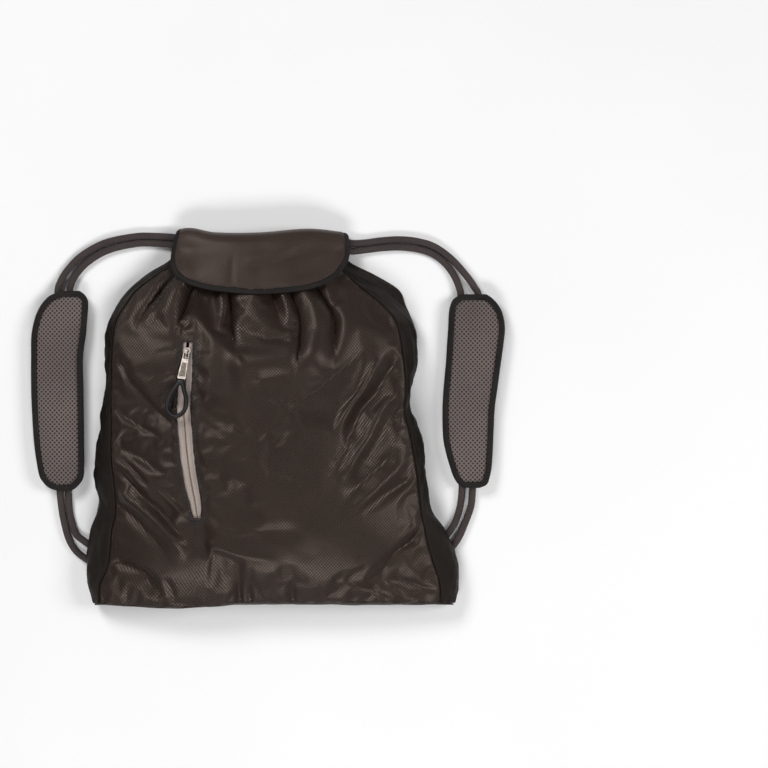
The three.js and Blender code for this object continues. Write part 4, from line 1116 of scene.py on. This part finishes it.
def make_front():
    obj = grid("front_cloth", FRONT_COLUMNS, FRONT_ROWS, front_point, front_uv, in_slot)
    pins = []
    for j in range(FRONT_ROWS + 1):
        for i in range(FRONT_COLUMNS + 1):
            rim = i in (0, FRONT_COLUMNS) or j in (0, FRONT_ROWS)
            beside_zip = (
                LEFT_CELLS - 1 <= i <= LEFT_CELLS + SLOT_CELLS + 1
                and LOW_ROWS - 1 <= j <= LOW_ROWS + ZIP_ROWS + 1
            )
            if rim or beside_zip:
                pins.append(j * (FRONT_COLUMNS + 1) + i)
    settle(obj, pins, grow=0.02, pressure=0.25, frames=20, cap=4)
    thicken(obj, CLOTH)
    dress(obj, NYLON, ["front_panel"])
    return obj


front = make_front()
front_drape = Drape(front)


# Back panel, gussets and base.
BACK_ROWS = 70
BACK_COLUMNS = 60
BACK_FOLD = 0.8


def back_point(i, j):
    at = BACK_TOP_AT * j / BACK_ROWS
    t = i / BACK_COLUMNS
    x = lerp(side_x("back", -1, at), side_x("back", 1, at), t)
    y = at * BAG_LENGTH
    return Vector((x, y, WALL + BACK_FOLD * inside(t, 0.08) * max(rough(x, y, 40, 21), 0)))


def make_back():
    obj = grid("back_cloth", BACK_COLUMNS, BACK_ROWS, back_point, lambda i, j: back_point(i, j)[:2])
    thicken(obj, WALL)
    for v in obj.data.vertices:
        v.co.z = max(v.co.z, 0)
    dress(obj, BLACK_CLOTH, ["back_panel"])


GUSSET_ROWS = 150
GUSSET_COLUMNS = 22
GUSSET_CUT = 48
GUSSET_FOLDS = (2.6, 1.3)


def gusset_point(side, at, w):
    back, out, seam = (side_x(part, side, at) for part in ("back", "out", "seam"))
    m = BULGE_AT
    x = back * (w - m) * (w - 1) / m + out * w * (w - 1) / (m * (m - 1)) + seam * w * (w - m) / (1 - m)
    z = lerp(WALL * 0.5, seam_z(at) - 0.5, w)
    y = at * BAG_LENGTH
    free = smooth(0, 0.2, w) * smooth(0, 0.15, 1 - w)
    wide, fine = GUSSET_FOLDS
    folds = wide * rough(x * 0.6 + 3 * z, y, 24, 31 + side) + fine * rough(4 * z, y, 10, 33 + side)
    return Vector((x + side * free * (folds - 0.6), y, z))


def make_gusset(name, side):
    obj = grid(
        f"{name}_cloth", GUSSET_COLUMNS, GUSSET_ROWS,
        lambda i, j: gusset_point(side, MOUTH_AT * j / GUSSET_ROWS, i / GUSSET_COLUMNS),
        lambda i, j: (GUSSET_CUT * i / GUSSET_COLUMNS, BAG_LENGTH * MOUTH_AT * j / GUSSET_ROWS),
    )
    thicken(obj, CLOTH, offset=-1 if side > 0 else 1)
    dress(obj, BLACK_CLOTH, [name])


BASE_COLUMNS = 110
BASE_ROWS = 16
BASE_BULGE = 3
BASE_FOLD = 1.2
BASE_CUT = (340, 38)


def base_point(i, j):
    t = i / BASE_COLUMNS
    w = j / BASE_ROWS
    left = gusset_point(-1, 0, w).x + 0.6
    right = gusset_point(1, 0, w).x - 0.6
    x = lerp(left, right, t)
    share = (x - side_x("seam", -1, 0)) / front_span(0)
    drop = BAG_LENGTH * read(BASE_EDGE, "drop", share) * w
    z = lerp(WALL * 0.5, front_z(x, 0) - 0.5, w)
    y = 0.4 - drop - math.sin(math.pi * w) * (BASE_BULGE + BASE_FOLD * rough(x, z * 2, 24, 41))
    return Vector((x, y, z))


def make_base():
    obj = grid(
        "bottom_cloth", BASE_COLUMNS, BASE_ROWS, base_point,
        lambda i, j: (BASE_CUT[0] * i / BASE_COLUMNS, BASE_CUT[1] * j / BASE_ROWS),
    )
    thicken(obj, CLOTH)
    dress(obj, BLACK_CLOTH, ["bottom_panel"])


make_back()
make_gusset("gusset_left", -1)
make_gusset("gusset_right", 1)
make_base()


# Mouth casing: a ruffled hem under the flap.
def make_casing():
    left = side_x("seam", -1, MOUTH_AT) - CASING_PAST_LEFT
    right = side_x("seam", 1, MOUTH_AT) + CASING_PAST_RIGHT
    y = MOUTH_AT * BAG_LENGTH + 2 * GAP + CASING_HALF_WIDTH
    top = crown_z(MOUTH_AT) - CASING_SINK
    steps = 150
    path = []
    for k in range(steps + 1):
        c = k / steps
        arch = 1 - abs(2 * c - 1) ** CASING_ARCH
        path.append(Vector((lerp(left, right, c), y, lerp(CASING_END_HEIGHT, top, arch))))
    rings = []
    sides = 20
    for k, (p, tangent) in enumerate(zip(path, directions(path))):
        up = Vector((-tangent.z, 0, tangent.x))
        ruffle = 1 - CASING_RUFFLE * (1 - math.cos(2 * math.pi * CASING_RUFFLES * 2 * k / steps)) / 2
        ring = []
        for c, s in circle(sides):
            crinkle = 1 + CASING_CRINKLE * rough(p.x, 40 * s, 6, 51)
            ring.append(
                p + up * (CASING_HALF_HEIGHT * ruffle * crinkle * s)
                + Vector((0, CASING_HALF_WIDTH * ruffle * crinkle * c, 0))
            )
        rings.append(ring)
    dress(tube("mouth_hem", rings), BLACK_CLOTH, ["mouth_casing"])


make_casing()


# Flap and its binding. Ripples: height and size in mm.
FLAP_FOLD_FADE = 16
FLAP_RIPPLES = ((0.9, 38), (0.3, 14))


def flap_skin(x, way):
    w = way / FLAP_REACH
    y = BACK_TOP_AT * BAG_LENGTH + FLAP_REACH * read(FLAP_SECTION, "past", w)
    fold = smooth(0.02, 0.17, w) * (1 - smooth(0.36, 0.64, w))
    across = (x - FLAP_MIDDLE) / FLAP_WIDTH
    wave = FLAP_REACH * read(FLAP_WAVE, "out", across)
    rest = envelope(x, min(y / BAG_LENGTH, MOUTH_AT)) + FLAP_REST
    z = read(FLAP_SECTION, "lift", w) * rest
    loose = smooth(0.3, 0.5, w)
    for f in FLAP_FOLDS:
        z += loose * fold_height(
            x - FLAP_MIDDLE, way, f["across"] * FLAP_WIDTH, f["at"] * FLAP_REACH,
            f["to_across"] * FLAP_WIDTH, f["to_at"] * FLAP_REACH, f["width"], f["rise"], FLAP_FOLD_FADE,
        )
    z += loose * sum(height * rough(x, way, size, k) for k, (height, size) in enumerate(FLAP_RIPPLES, 61))
    return Vector((x, y + fold * wave, z))


def flap_point(x, way, depth):
    p = flap_skin(x, way)
    along = flap_skin(x + 1, way) - flap_skin(x - 1, way)
    down = flap_skin(x, way + 1) - flap_skin(x, max(way - 1, 0))
    normal = down.cross(along).normalized()
    if normal.z < -0.7:
        normal.negate()
    return p - normal * depth


def flap_plan(across, way):
    return Vector((FLAP_MIDDLE + FLAP_WIDTH * across, FLAP_REACH * way, 0))


FLAP_STEPS = 6
FLAP_COLUMNS = 70
FLAP_TUCK = 1.5
# The outline runs down the left, along the end and up the right.
flap_outline = spline(
    [flap_plan(r["left"], r["at"]) for r in FLAP_PLAN]
    + [flap_plan(0, 1)]
    + [flap_plan(r["right"], r["at"]) for r in reversed(FLAP_PLAN)],
    FLAP_STEPS,
)


def make_flap():
    inner = inset(flap_outline, FLAP_TUCK - BINDING_WIDTH)
    rows = len(inner) // 2

    def plan(i, j):
        t = i / FLAP_COLUMNS
        a = inner[j]
        b = inner[len(inner) - 1 - j]
        return lerp(a.x, b.x, t), lerp(a.y, b.y, t) + 0.6 * math.sin(math.pi * t) * smooth(rows - 12, rows, j)

    obj = grid(
        "flap_cloth", FLAP_COLUMNS, rows - 1, lambda i, j: flap_point(*plan(i, j), 0.1), plan
    )
    thicken(obj, FLAP_WALL)
    dress(obj, FLAP_NYLON, ["flap"])


# Section of a folded tape: how far in from the edge, as a share of its width, and its height
# above and below the cloth in mm.
TAPE_SECTION = (
    (1.0, -0.05), (0.96, 0.55), (0.8, 0.75), (0.5, 0.7), (0.22, 0.75), (0.06, 0.35), (0.0, -0.6),
    (0.06, -1.7), (0.22, -2.1), (0.6, -2.1), (0.96, -1.9), (1.0, -1.4),
)


def make_flap_binding():
    def corner(x, y, height):
        return flap_point(x, y, -(height + 0.25 * rough(x, y, 7, 71)))

    rings = tape_rings(flap_outline, TAPE_SECTION, -BINDING_WIDTH, False, corner)
    dress(tube("flap_edge", rings), BINDING, ["flap_binding"])
    path = []
    for p in inset(flap_outline, -BINDING_WIDTH * 0.86):
        normal = (flap_point(p.x, p.y, -2) - flap_point(p.x, p.y, 0)).normalized()
        path.append((flap_point(p.x, p.y, -0.9), normal))
    dress(join_meshes("flap_stitches", stitch_row([path], 2.2, 0.9, 0.26)), DARK_THREAD)


make_flap()
make_flap_binding()


# Zip: two tapes, their stitches, the window's stitches with the painted shade round them, and the slider's
# frame.
TAPE_ENDS = 0.012
TAPE_ROWS = 120
TAPE_COLUMNS = 14
WEDGE_HALF = 0.8
COIL_AT = 1.4
COIL_RISE = 0.6
COIL_PITCH = 1.25


def tape_at(j):
    return lerp(ZIP_FROM - TAPE_ENDS, ZIP_TO + TAPE_ENDS, j / TAPE_ROWS)


def tape_surface(side, at, d):
    """A point of the tape d mm from the zip's line, which is raised where the teeth lie."""
    split = (WEDGE_HALF + GAP) * smooth(SLIDER_AT - 0.014, SLIDER_AT - 0.003, at)
    x = zip_x(at) + side * (d + split)
    teeth = COIL_RISE * math.exp(-((d - COIL_AT) ** 4))
    wave = 0.25 * smooth(3, 8, d) * rough(x, at * BAG_LENGTH, 12, 81)
    return Vector((x, at * BAG_LENGTH, envelope(x, at) - TAPE_TOP + teeth + wave))


def make_tape(name, side):
    def width(i):
        return lerp(0.25, TAPE_WIDTH, (i / TAPE_COLUMNS) ** 1.3)

    obj = grid(
        f"{name}_weave", TAPE_COLUMNS, TAPE_ROWS, lambda i, j: tape_surface(side, tape_at(j), width(i)),
        lambda i, j: (width(i), tape_at(j) * BAG_LENGTH),
    )
    thicken(obj, TAPE_WALL, offset=-1 if side > 0 else 1)
    dress(obj, TAPE, [name])


def tape_line(side, d, rows_left, lift=0):
    rows = range(2, TAPE_ROWS - rows_left)
    return [(tape_surface(side, tape_at(j), d) + UP * lift, UP) for j in rows]


def make_tape_stitches():
    parts = stitch_row([tape_line(side, d, 1) for side in (-1, 1) for d in (2.6, 4.4)], 1.3, 0.7, 0.2)
    dress(join_meshes("zip_tape_stitches", parts), TAPE_THREAD)


def make_middle_stitches():
    parts = stitch_row([tape_line(1, 0, 8, 0.1)], 1.3, 0.9, 0.34)
    dress(join_meshes("zip_middle_stitches", parts), BROWN_THREAD)


def make_teeth():
    """Ribs of the nylon coil that show through along the middle."""
    parts = []
    for k in range(int((SLIDER_AT - 0.016 - ZIP_FROM) * BAG_LENGTH / COIL_PITCH)):
        at = ZIP_FROM + 0.002 + k * COIL_PITCH / BAG_LENGTH
        for side in (-1, 1):
            inner = tape_surface(side, at, 0.1)
            outer = tape_surface(side, at + 0.4 * side / BAG_LENGTH, 1.5)
            lift = UP * 0.15
            parts.append(bead(inner + lift, outer + lift, 0.36, UP))
    dress(join_meshes("zip_coil", parts), TAPE_THREAD)


def window_line(offset, at_from, at_to, steps=90):
    """Outline round the zip's window, offset mm outside its edge."""
    left = []
    right = []
    for k in range(steps + 1):
        at = lerp(at_from, at_to, k / steps)
        left.append((zip_x(at) - slot_half(at) - offset, at * BAG_LENGTH))
        right.append((zip_x(at) + slot_half(at) + offset, at * BAG_LENGTH))
    return left + right[::-1] + left[:1]


# Rows round the window: mm outside its edge, and a seed. They are real stitching, drawn thick and dark
# so that they also paint the shade of the puckered cloth round the window. Then a tack at its foot, and
# dark flecks beside the window, most of them near its top, which are painted shade of the puckers.
WINDOW_ROWS = ((0.9, 4), (1.9, 5), (3.2, 6))
TACK_STITCHES = 16
SHADE_FLECKS = 190
FLECKS_NEAR_TOP = 90


def make_window_stitches():
    rows = []
    # Thick dark rows: real stitching that also paints the shade of the puckers round the window.
    for offset, seed in WINDOW_ROWS:
        end = offset / BAG_LENGTH
        path = front_drape.path(window_line(offset, ZIP_FROM - end, ZIP_TO + end))
        rows += stitch_row([path], 1.7, 0.8, 0.42, jitter=1.5, seed=seed)
    tack_and_shade_flecks = []
    draw = random.Random(9)
    for k in range(TACK_STITCHES):
        x = zip_x(ZIP_FROM) - TACK_STITCHES / 2 + k
        y = ZIP_FROM * BAG_LENGTH - 4.4
        spot = front_drape.at(x, y + draw.uniform(-0.4, 0.4))
        if spot:
            point, up = spot
            tack_and_shade_flecks.append(bead(point + Vector((-0.5, -1.1, 0.3)), point + Vector((0.5, 1.1, 0.3)), 0.45, up))
    # Dark flecks in the thread's colour: painted shade of the puckered cloth round the window.
    for k in range(SHADE_FLECKS):
        near_top = k < FLECKS_NEAR_TOP
        low, high = (ZIP_TO - 0.07, ZIP_TO + 0.012) if near_top else (ZIP_FROM, ZIP_TO)
        at = lerp(low, high, draw.random())
        reach = draw.uniform(0.6, 6.0 if near_top else 3.4)
        side = draw.choice((-1, 1))
        x = zip_x(at) + side * (slot_half(at) + reach)
        if at > ZIP_TO:
            x = zip_x(at) + draw.uniform(-8, 8)
        spot = front_drape.at(x, at * BAG_LENGTH)
        if spot:
            point, up = spot
            turn = Vector((draw.uniform(-0.8, 0.8), draw.uniform(-1.5, 1.5), 0.1))
            tack_and_shade_flecks.append(bead(point - turn, point + turn, 0.65, up))
    dress(join_meshes("window_stitches_and_shade", rows + tack_and_shade_flecks), DARK_THREAD)


make_tape("zip_tape_left", -1)
make_tape("zip_tape_right", 1)
make_tape_stitches()
make_teeth()
make_middle_stitches()
make_window_stitches()


SEAM_STITCH_INSET = 2.2


def make_seam_stitches():
    paths = []
    steps = 159
    for side in (-1, 1):
        points = []
        for k in range(steps + 1):
            at = lerp(0.012, 0.93, k / steps)
            points.append((side_x("seam", side, at) - side * SEAM_STITCH_INSET, at * BAG_LENGTH))
        paths.append(front_drape.path(points))
    dress(join_meshes("seam_stitches", stitch_row(paths, 2.3, 1.1, 0.24)), DARK_THREAD)


make_seam_stitches()


# Slider, tab and loop: the frame's own nodes keep their shape. The loop is a finer piece.
def zip_top(at):
    x = zip_x(at)
    return Vector((x, at * BAG_LENGTH, envelope(x, at) - TAPE_TOP))


def pull_frame():
    """The tab's own frame: origin on its bar, -Y down the tab, Z off the cloth."""
    here = zip_x(SLIDER_AT)
    along = (zip_top(SLIDER_AT + 0.02) - zip_top(SLIDER_AT - 0.02)).normalized()
    across = Vector((2, 0, envelope(here + 1, SLIDER_AT) - envelope(here - 1, SLIDER_AT)))
    normal = across.cross(along).normalized()
    right = along.cross(normal).normalized()
    turn = Matrix((right, along, normal)).transposed().to_4x4()
    bar_z = GAP + SLIDER_PLATE + BAR_CLEAR + BAR / 2
    return (
        Matrix.Translation(zip_top(SLIDER_AT)) @ turn @ Matrix.Translation((0, 0, bar_z))
        @ Matrix.Rotation(TAB_SLANT, 4, "Z") @ Matrix.Rotation(-TAB_LIFT, 4, "X")
    )


PULL = pull_frame()
LOOP_FULLNESS = 1.4
LOOP_SAG = 2
LOOP_SHAPE = ((-0.08, 0.10), (0.12, 0.24), (0.36, 0.42), (0.62, 0.5), (0.86, 0.37))
COLLAR_NECK = 0.72
COLLAR_GROOVE = 0.07
COLLAR_FROM = TAB_LENGTH + GAP
COLLAR_TO = COLLAR_FROM + COLLAR_LENGTH


def loop_point(along, half):
    return Vector((
        half * (LOOP_WIDTH - LOOP_CORD),
        -(COLLAR_TO + along * (LOOP_LENGTH - LOOP_CORD / 2)),
        -LOOP_SAG * smooth(-0.05, 0.9, along),
    ))


def make_loop():
    points = [loop_point(a, -h) for a, h in LOOP_SHAPE] + [loop_point(1, 0)]
    points += [loop_point(a, h) for a, h in reversed(LOOP_SHAPE)]
    path = spline(points, 12)
    rings = round_rings(path, LOOP_CORD / 2 * LOOP_FULLNESS, CORD_SIDES)
    cord = tube("pull_loop_cord", [[PULL @ p for p in ring] for ring in rings])
    dress(cord, PULL_RUBBER, ["pull_loop"], body="pull")

    rings = []
    steps = 14
    for k in range(steps + 1):
        t = k / steps
        y = -lerp(COLLAR_FROM, COLLAR_TO, t)
        swell = lerp(COLLAR_NECK, 1, 1 - abs(2 * t - 1) ** 4)
        groove = 1 - COLLAR_GROOVE * (1 + math.cos(2 * math.pi * 3 * t)) / 2
        ring = []
        for c, s in circle(24):
            x = math.copysign(abs(c) ** 0.6, c) * COLLAR_WIDTH / 2 * swell * groove
            z = math.copysign(abs(s) ** 0.7, s) * COLLAR_THICK / 2 * swell * groove
            ring.append(PULL @ Vector((x, y, z)))
        rings.append(ring)
    dress(tube("pull_collar", rings), PULL_RUBBER, body="pull")


make_loop()


def make_tab_inlay():
    """A thin plate in the tab's face, with small dimples."""
    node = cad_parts["pull_tab"]
    tree = BVHTree.FromPolygons(
        [node.matrix_world @ v.co for v in node.data.vertices],
        [p.vertices[:] for p in node.data.polygons],
    )
    up = (PULL.to_3x3() @ UP).normalized()
    columns = 10
    rows = 30

    def spot(i, j):
        way = lerp(-10.2, -TAB_LENGTH + 3.2, j / rows)
        half = lerp(2.1, 3.1, j / rows)
        start = place(PULL @ Vector((lerp(-half, half, i / columns), way, 20)))
        hit = tree.ray_cast(start, -up)[0]
        point = hit / MM - SHIFT if hit else PULL @ Vector((0, way, 0))
        rim = i in (0, columns) or j in (0, rows)
        return point + up * (0.04 if rim else 0.3 + 0.14 * rough(point.x, point.y, 0.9, 55))

    obj = grid("tab_inlay", columns, rows, spot, lambda i, j: (i, j))
    thicken(obj, 0.25)
    dress(obj, PANEL_RUBBER, body="pull")


make_tab_inlay()

for node_name in ("zip_slider", "pull_tab"):
    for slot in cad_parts[node_name].material_slots:
        slot.material = METAL


# Pads: crowned mesh face, bound edge and back sleeve.
FACE_PITCH = 0.85
FACE_COLUMNS = 58
FACE_INSET = PAD_BINDING - 1.6
FACE_EDGE = 0.55
FACE_CROWN = 0.5
PIT_DEPTH = 0.75


def pad_outline(rows, steps):
    """Closed outline, counterclockwise from above."""
    low, high = rows[0]["at"], rows[-1]["at"]
    points = []
    for key, flip in (("right", False), ("left", True)):
        for k in range(steps + 1):
            c = (1 - math.cos(math.pi * k / steps)) / 2
            s = lerp(c, k / steps, 0.35)
            at = lerp(high, low, s) if flip else lerp(low, high, s)
            points.append(Vector((BAG_WIDTH * read(rows, key, at), BAG_LENGTH * at, 0)))
    return points


def pad_x(rows, at, t, margin):
    """Place across a pad at share t, between its two edges less a margin."""
    left = BAG_WIDTH * read(rows, "left", at) + margin
    right = BAG_WIDTH * read(rows, "right", at) - margin
    return lerp(left, right, t)


def make_pad_face(side, rows):
    low = rows[0]["at"] * BAG_LENGTH + FACE_INSET
    high = rows[-1]["at"] * BAG_LENGTH - FACE_INSET
    face_rows = round((high - low) / FACE_PITCH)

    def spot(i, j):
        y = lerp(low, high, j / face_rows)
        return pad_x(rows, y / BAG_LENGTH, i / FACE_COLUMNS, FACE_INSET), y

    def top(i, j):
        x, y = spot(i, j)
        t = abs(2 * i / FACE_COLUMNS - 1)
        ends = inside(j / face_rows, 0.10)
        crown = FACE_EDGE + FACE_CROWN * (1 - t ** 3) * (0.3 + 0.7 * ends)
        lattice = math.cos(2 * math.pi * x / MESH_U) * math.cos(2 * math.pi * y / MESH_V)
        pit = PIT_DEPTH * smooth(0.05, 0.7, lattice) * smooth(0, 0.06, 1 - t)
        z = PAD_LIFT + PAD_THICK * crown - pit + 0.5 * rough(x, y, 30, 91 + len(side))
        return Vector((x, y, z))

    obj = grid(f"pad_{side}_mesh", FACE_COLUMNS, face_rows, top, spot)
    thicken(obj, PAD_THICK * FACE_EDGE)
    dress(obj, MESH_CLOTH, [f"pad_{side}"])


# As TAPE_SECTION, with heights as shares of half the edge's thickness.
EDGE_SECTION = (
    (1.0, 0.55), (0.94, 0.98), (0.75, 1.08), (0.5, 1.02), (0.25, 0.98), (0.07, 0.62), (0.0, 0.0),
    (0.07, -0.62), (0.25, -0.96), (0.6, -1.0), (0.94, -1.0), (1.0, -0.7),
)


def make_pad_binding(side, rows):
    outline = pad_outline(rows, 70)
    half = PAD_THICK / 2 + 0.4
    middle = PAD_LIFT + PAD_THICK / 2

    def corner(x, y, height):
        return Vector((x, y, middle + height * half + 0.3 * rough(x, y, 8, 95)))

    rings = tape_rings(outline, EDGE_SECTION, PAD_BINDING, True, corner)
    dress(tube(f"pad_{side}_edge", rings, loop=True), BINDING, [f"pad_binding_{side}"])
    line = inset(outline, PAD_BINDING * 0.84, closed=True)
    path = [(Vector((p.x, p.y, middle + half * 1.06 + 0.1)), UP) for p in line]
    path.append(path[0])
    parts = stitch_row([path], 2.2, 0.9, 0.24)
    dress(join_meshes(f"pad_{side}_stitches", parts), DARK_THREAD)


def make_sleeve(side, rows):
    low = rows[0]["at"] + SLEEVE_ENDS
    high = rows[-1]["at"] - SLEEVE_ENDS
    top = PAD_LIFT - 0.2 - GAP
    sides = 24
    count = 70

    def point(i, j):
        at = lerp(low, high, j / count)
        t = i / sides
        z = top * smooth(0.72, 1, abs(2 * t - 1))
        return Vector((pad_x(rows, at, t, SLEEVE_INSET), at * BAG_LENGTH, max(z, 0.02)))

    obj = grid(f"pad_{side}_sleeve", sides, count, point, lambda i, j: point(i, j)[:2])
    thicken(obj, CLOTH, offset=1)
    for v in obj.data.vertices:
        v.co.z = max(v.co.z, 0)
    dress(obj, BLACK_CLOTH, [f"pad_sleeve_{side}"])


for pad_side, pad_rows in (("left", PAD_LEFT), ("right", PAD_RIGHT)):
    make_pad_face(pad_side, pad_rows)
    make_pad_binding(pad_side, pad_rows)
    make_sleeve(pad_side, pad_rows)


# Floor and light.
def make_floor():
    size = 3000
    obj = build(
        "floor", [(-size, -size, -0.05), (size, -size, -0.05), (size, size, -0.05), (-size, size, -0.05)],
        [(0, 1, 2, 3)], [[(0, 0)] * 4],
    )
    f = Finish("floor", Roughness=0.9)
    f.colour(f.mix(f.ramp(f.cloud(3, 2), 0.3, 0.7), srgb(252, 252, 252), srgb(254, 254, 254)))
    obj.data.materials.append(f.material)


LIGHT_TARGET = Vector((0, 0, 0.03))


def soft_box(name, position, size, power):
    data = bpy.data.lights.new(name, "AREA")
    data.shape = "RECTANGLE"
    data.size, data.size_y = size
    data.energy = power
    obj = bpy.data.objects.new(name, data)
    obj.location = position
    obj.rotation_euler = (LIGHT_TARGET - Vector(position)).to_track_quat("-Z", "Y").to_euler()
    bpy.context.scene.collection.objects.link(obj)


make_floor()
soft_box("light_back_left", (-0.9, 1.1, 1.55), (0.8, 0.7), 19)
soft_box("light_right", (1.5, 0.15, 1.5), (0.7, 0.9), 17)
soft_box("light_base", (-0.1, -1.4, 1.45), (1.1, 0.5), 18)
world = bpy.data.worlds.new("studio")
world.use_nodes = True
world.node_tree.nodes["Background"].inputs["Color"].default_value = (1, 1, 1, 1)
world.node_tree.nodes["Background"].inputs["Strength"].default_value = 0.12
bpy.context.scene.world = world
bpy.context.scene.view_settings.view_transform = "Standard"
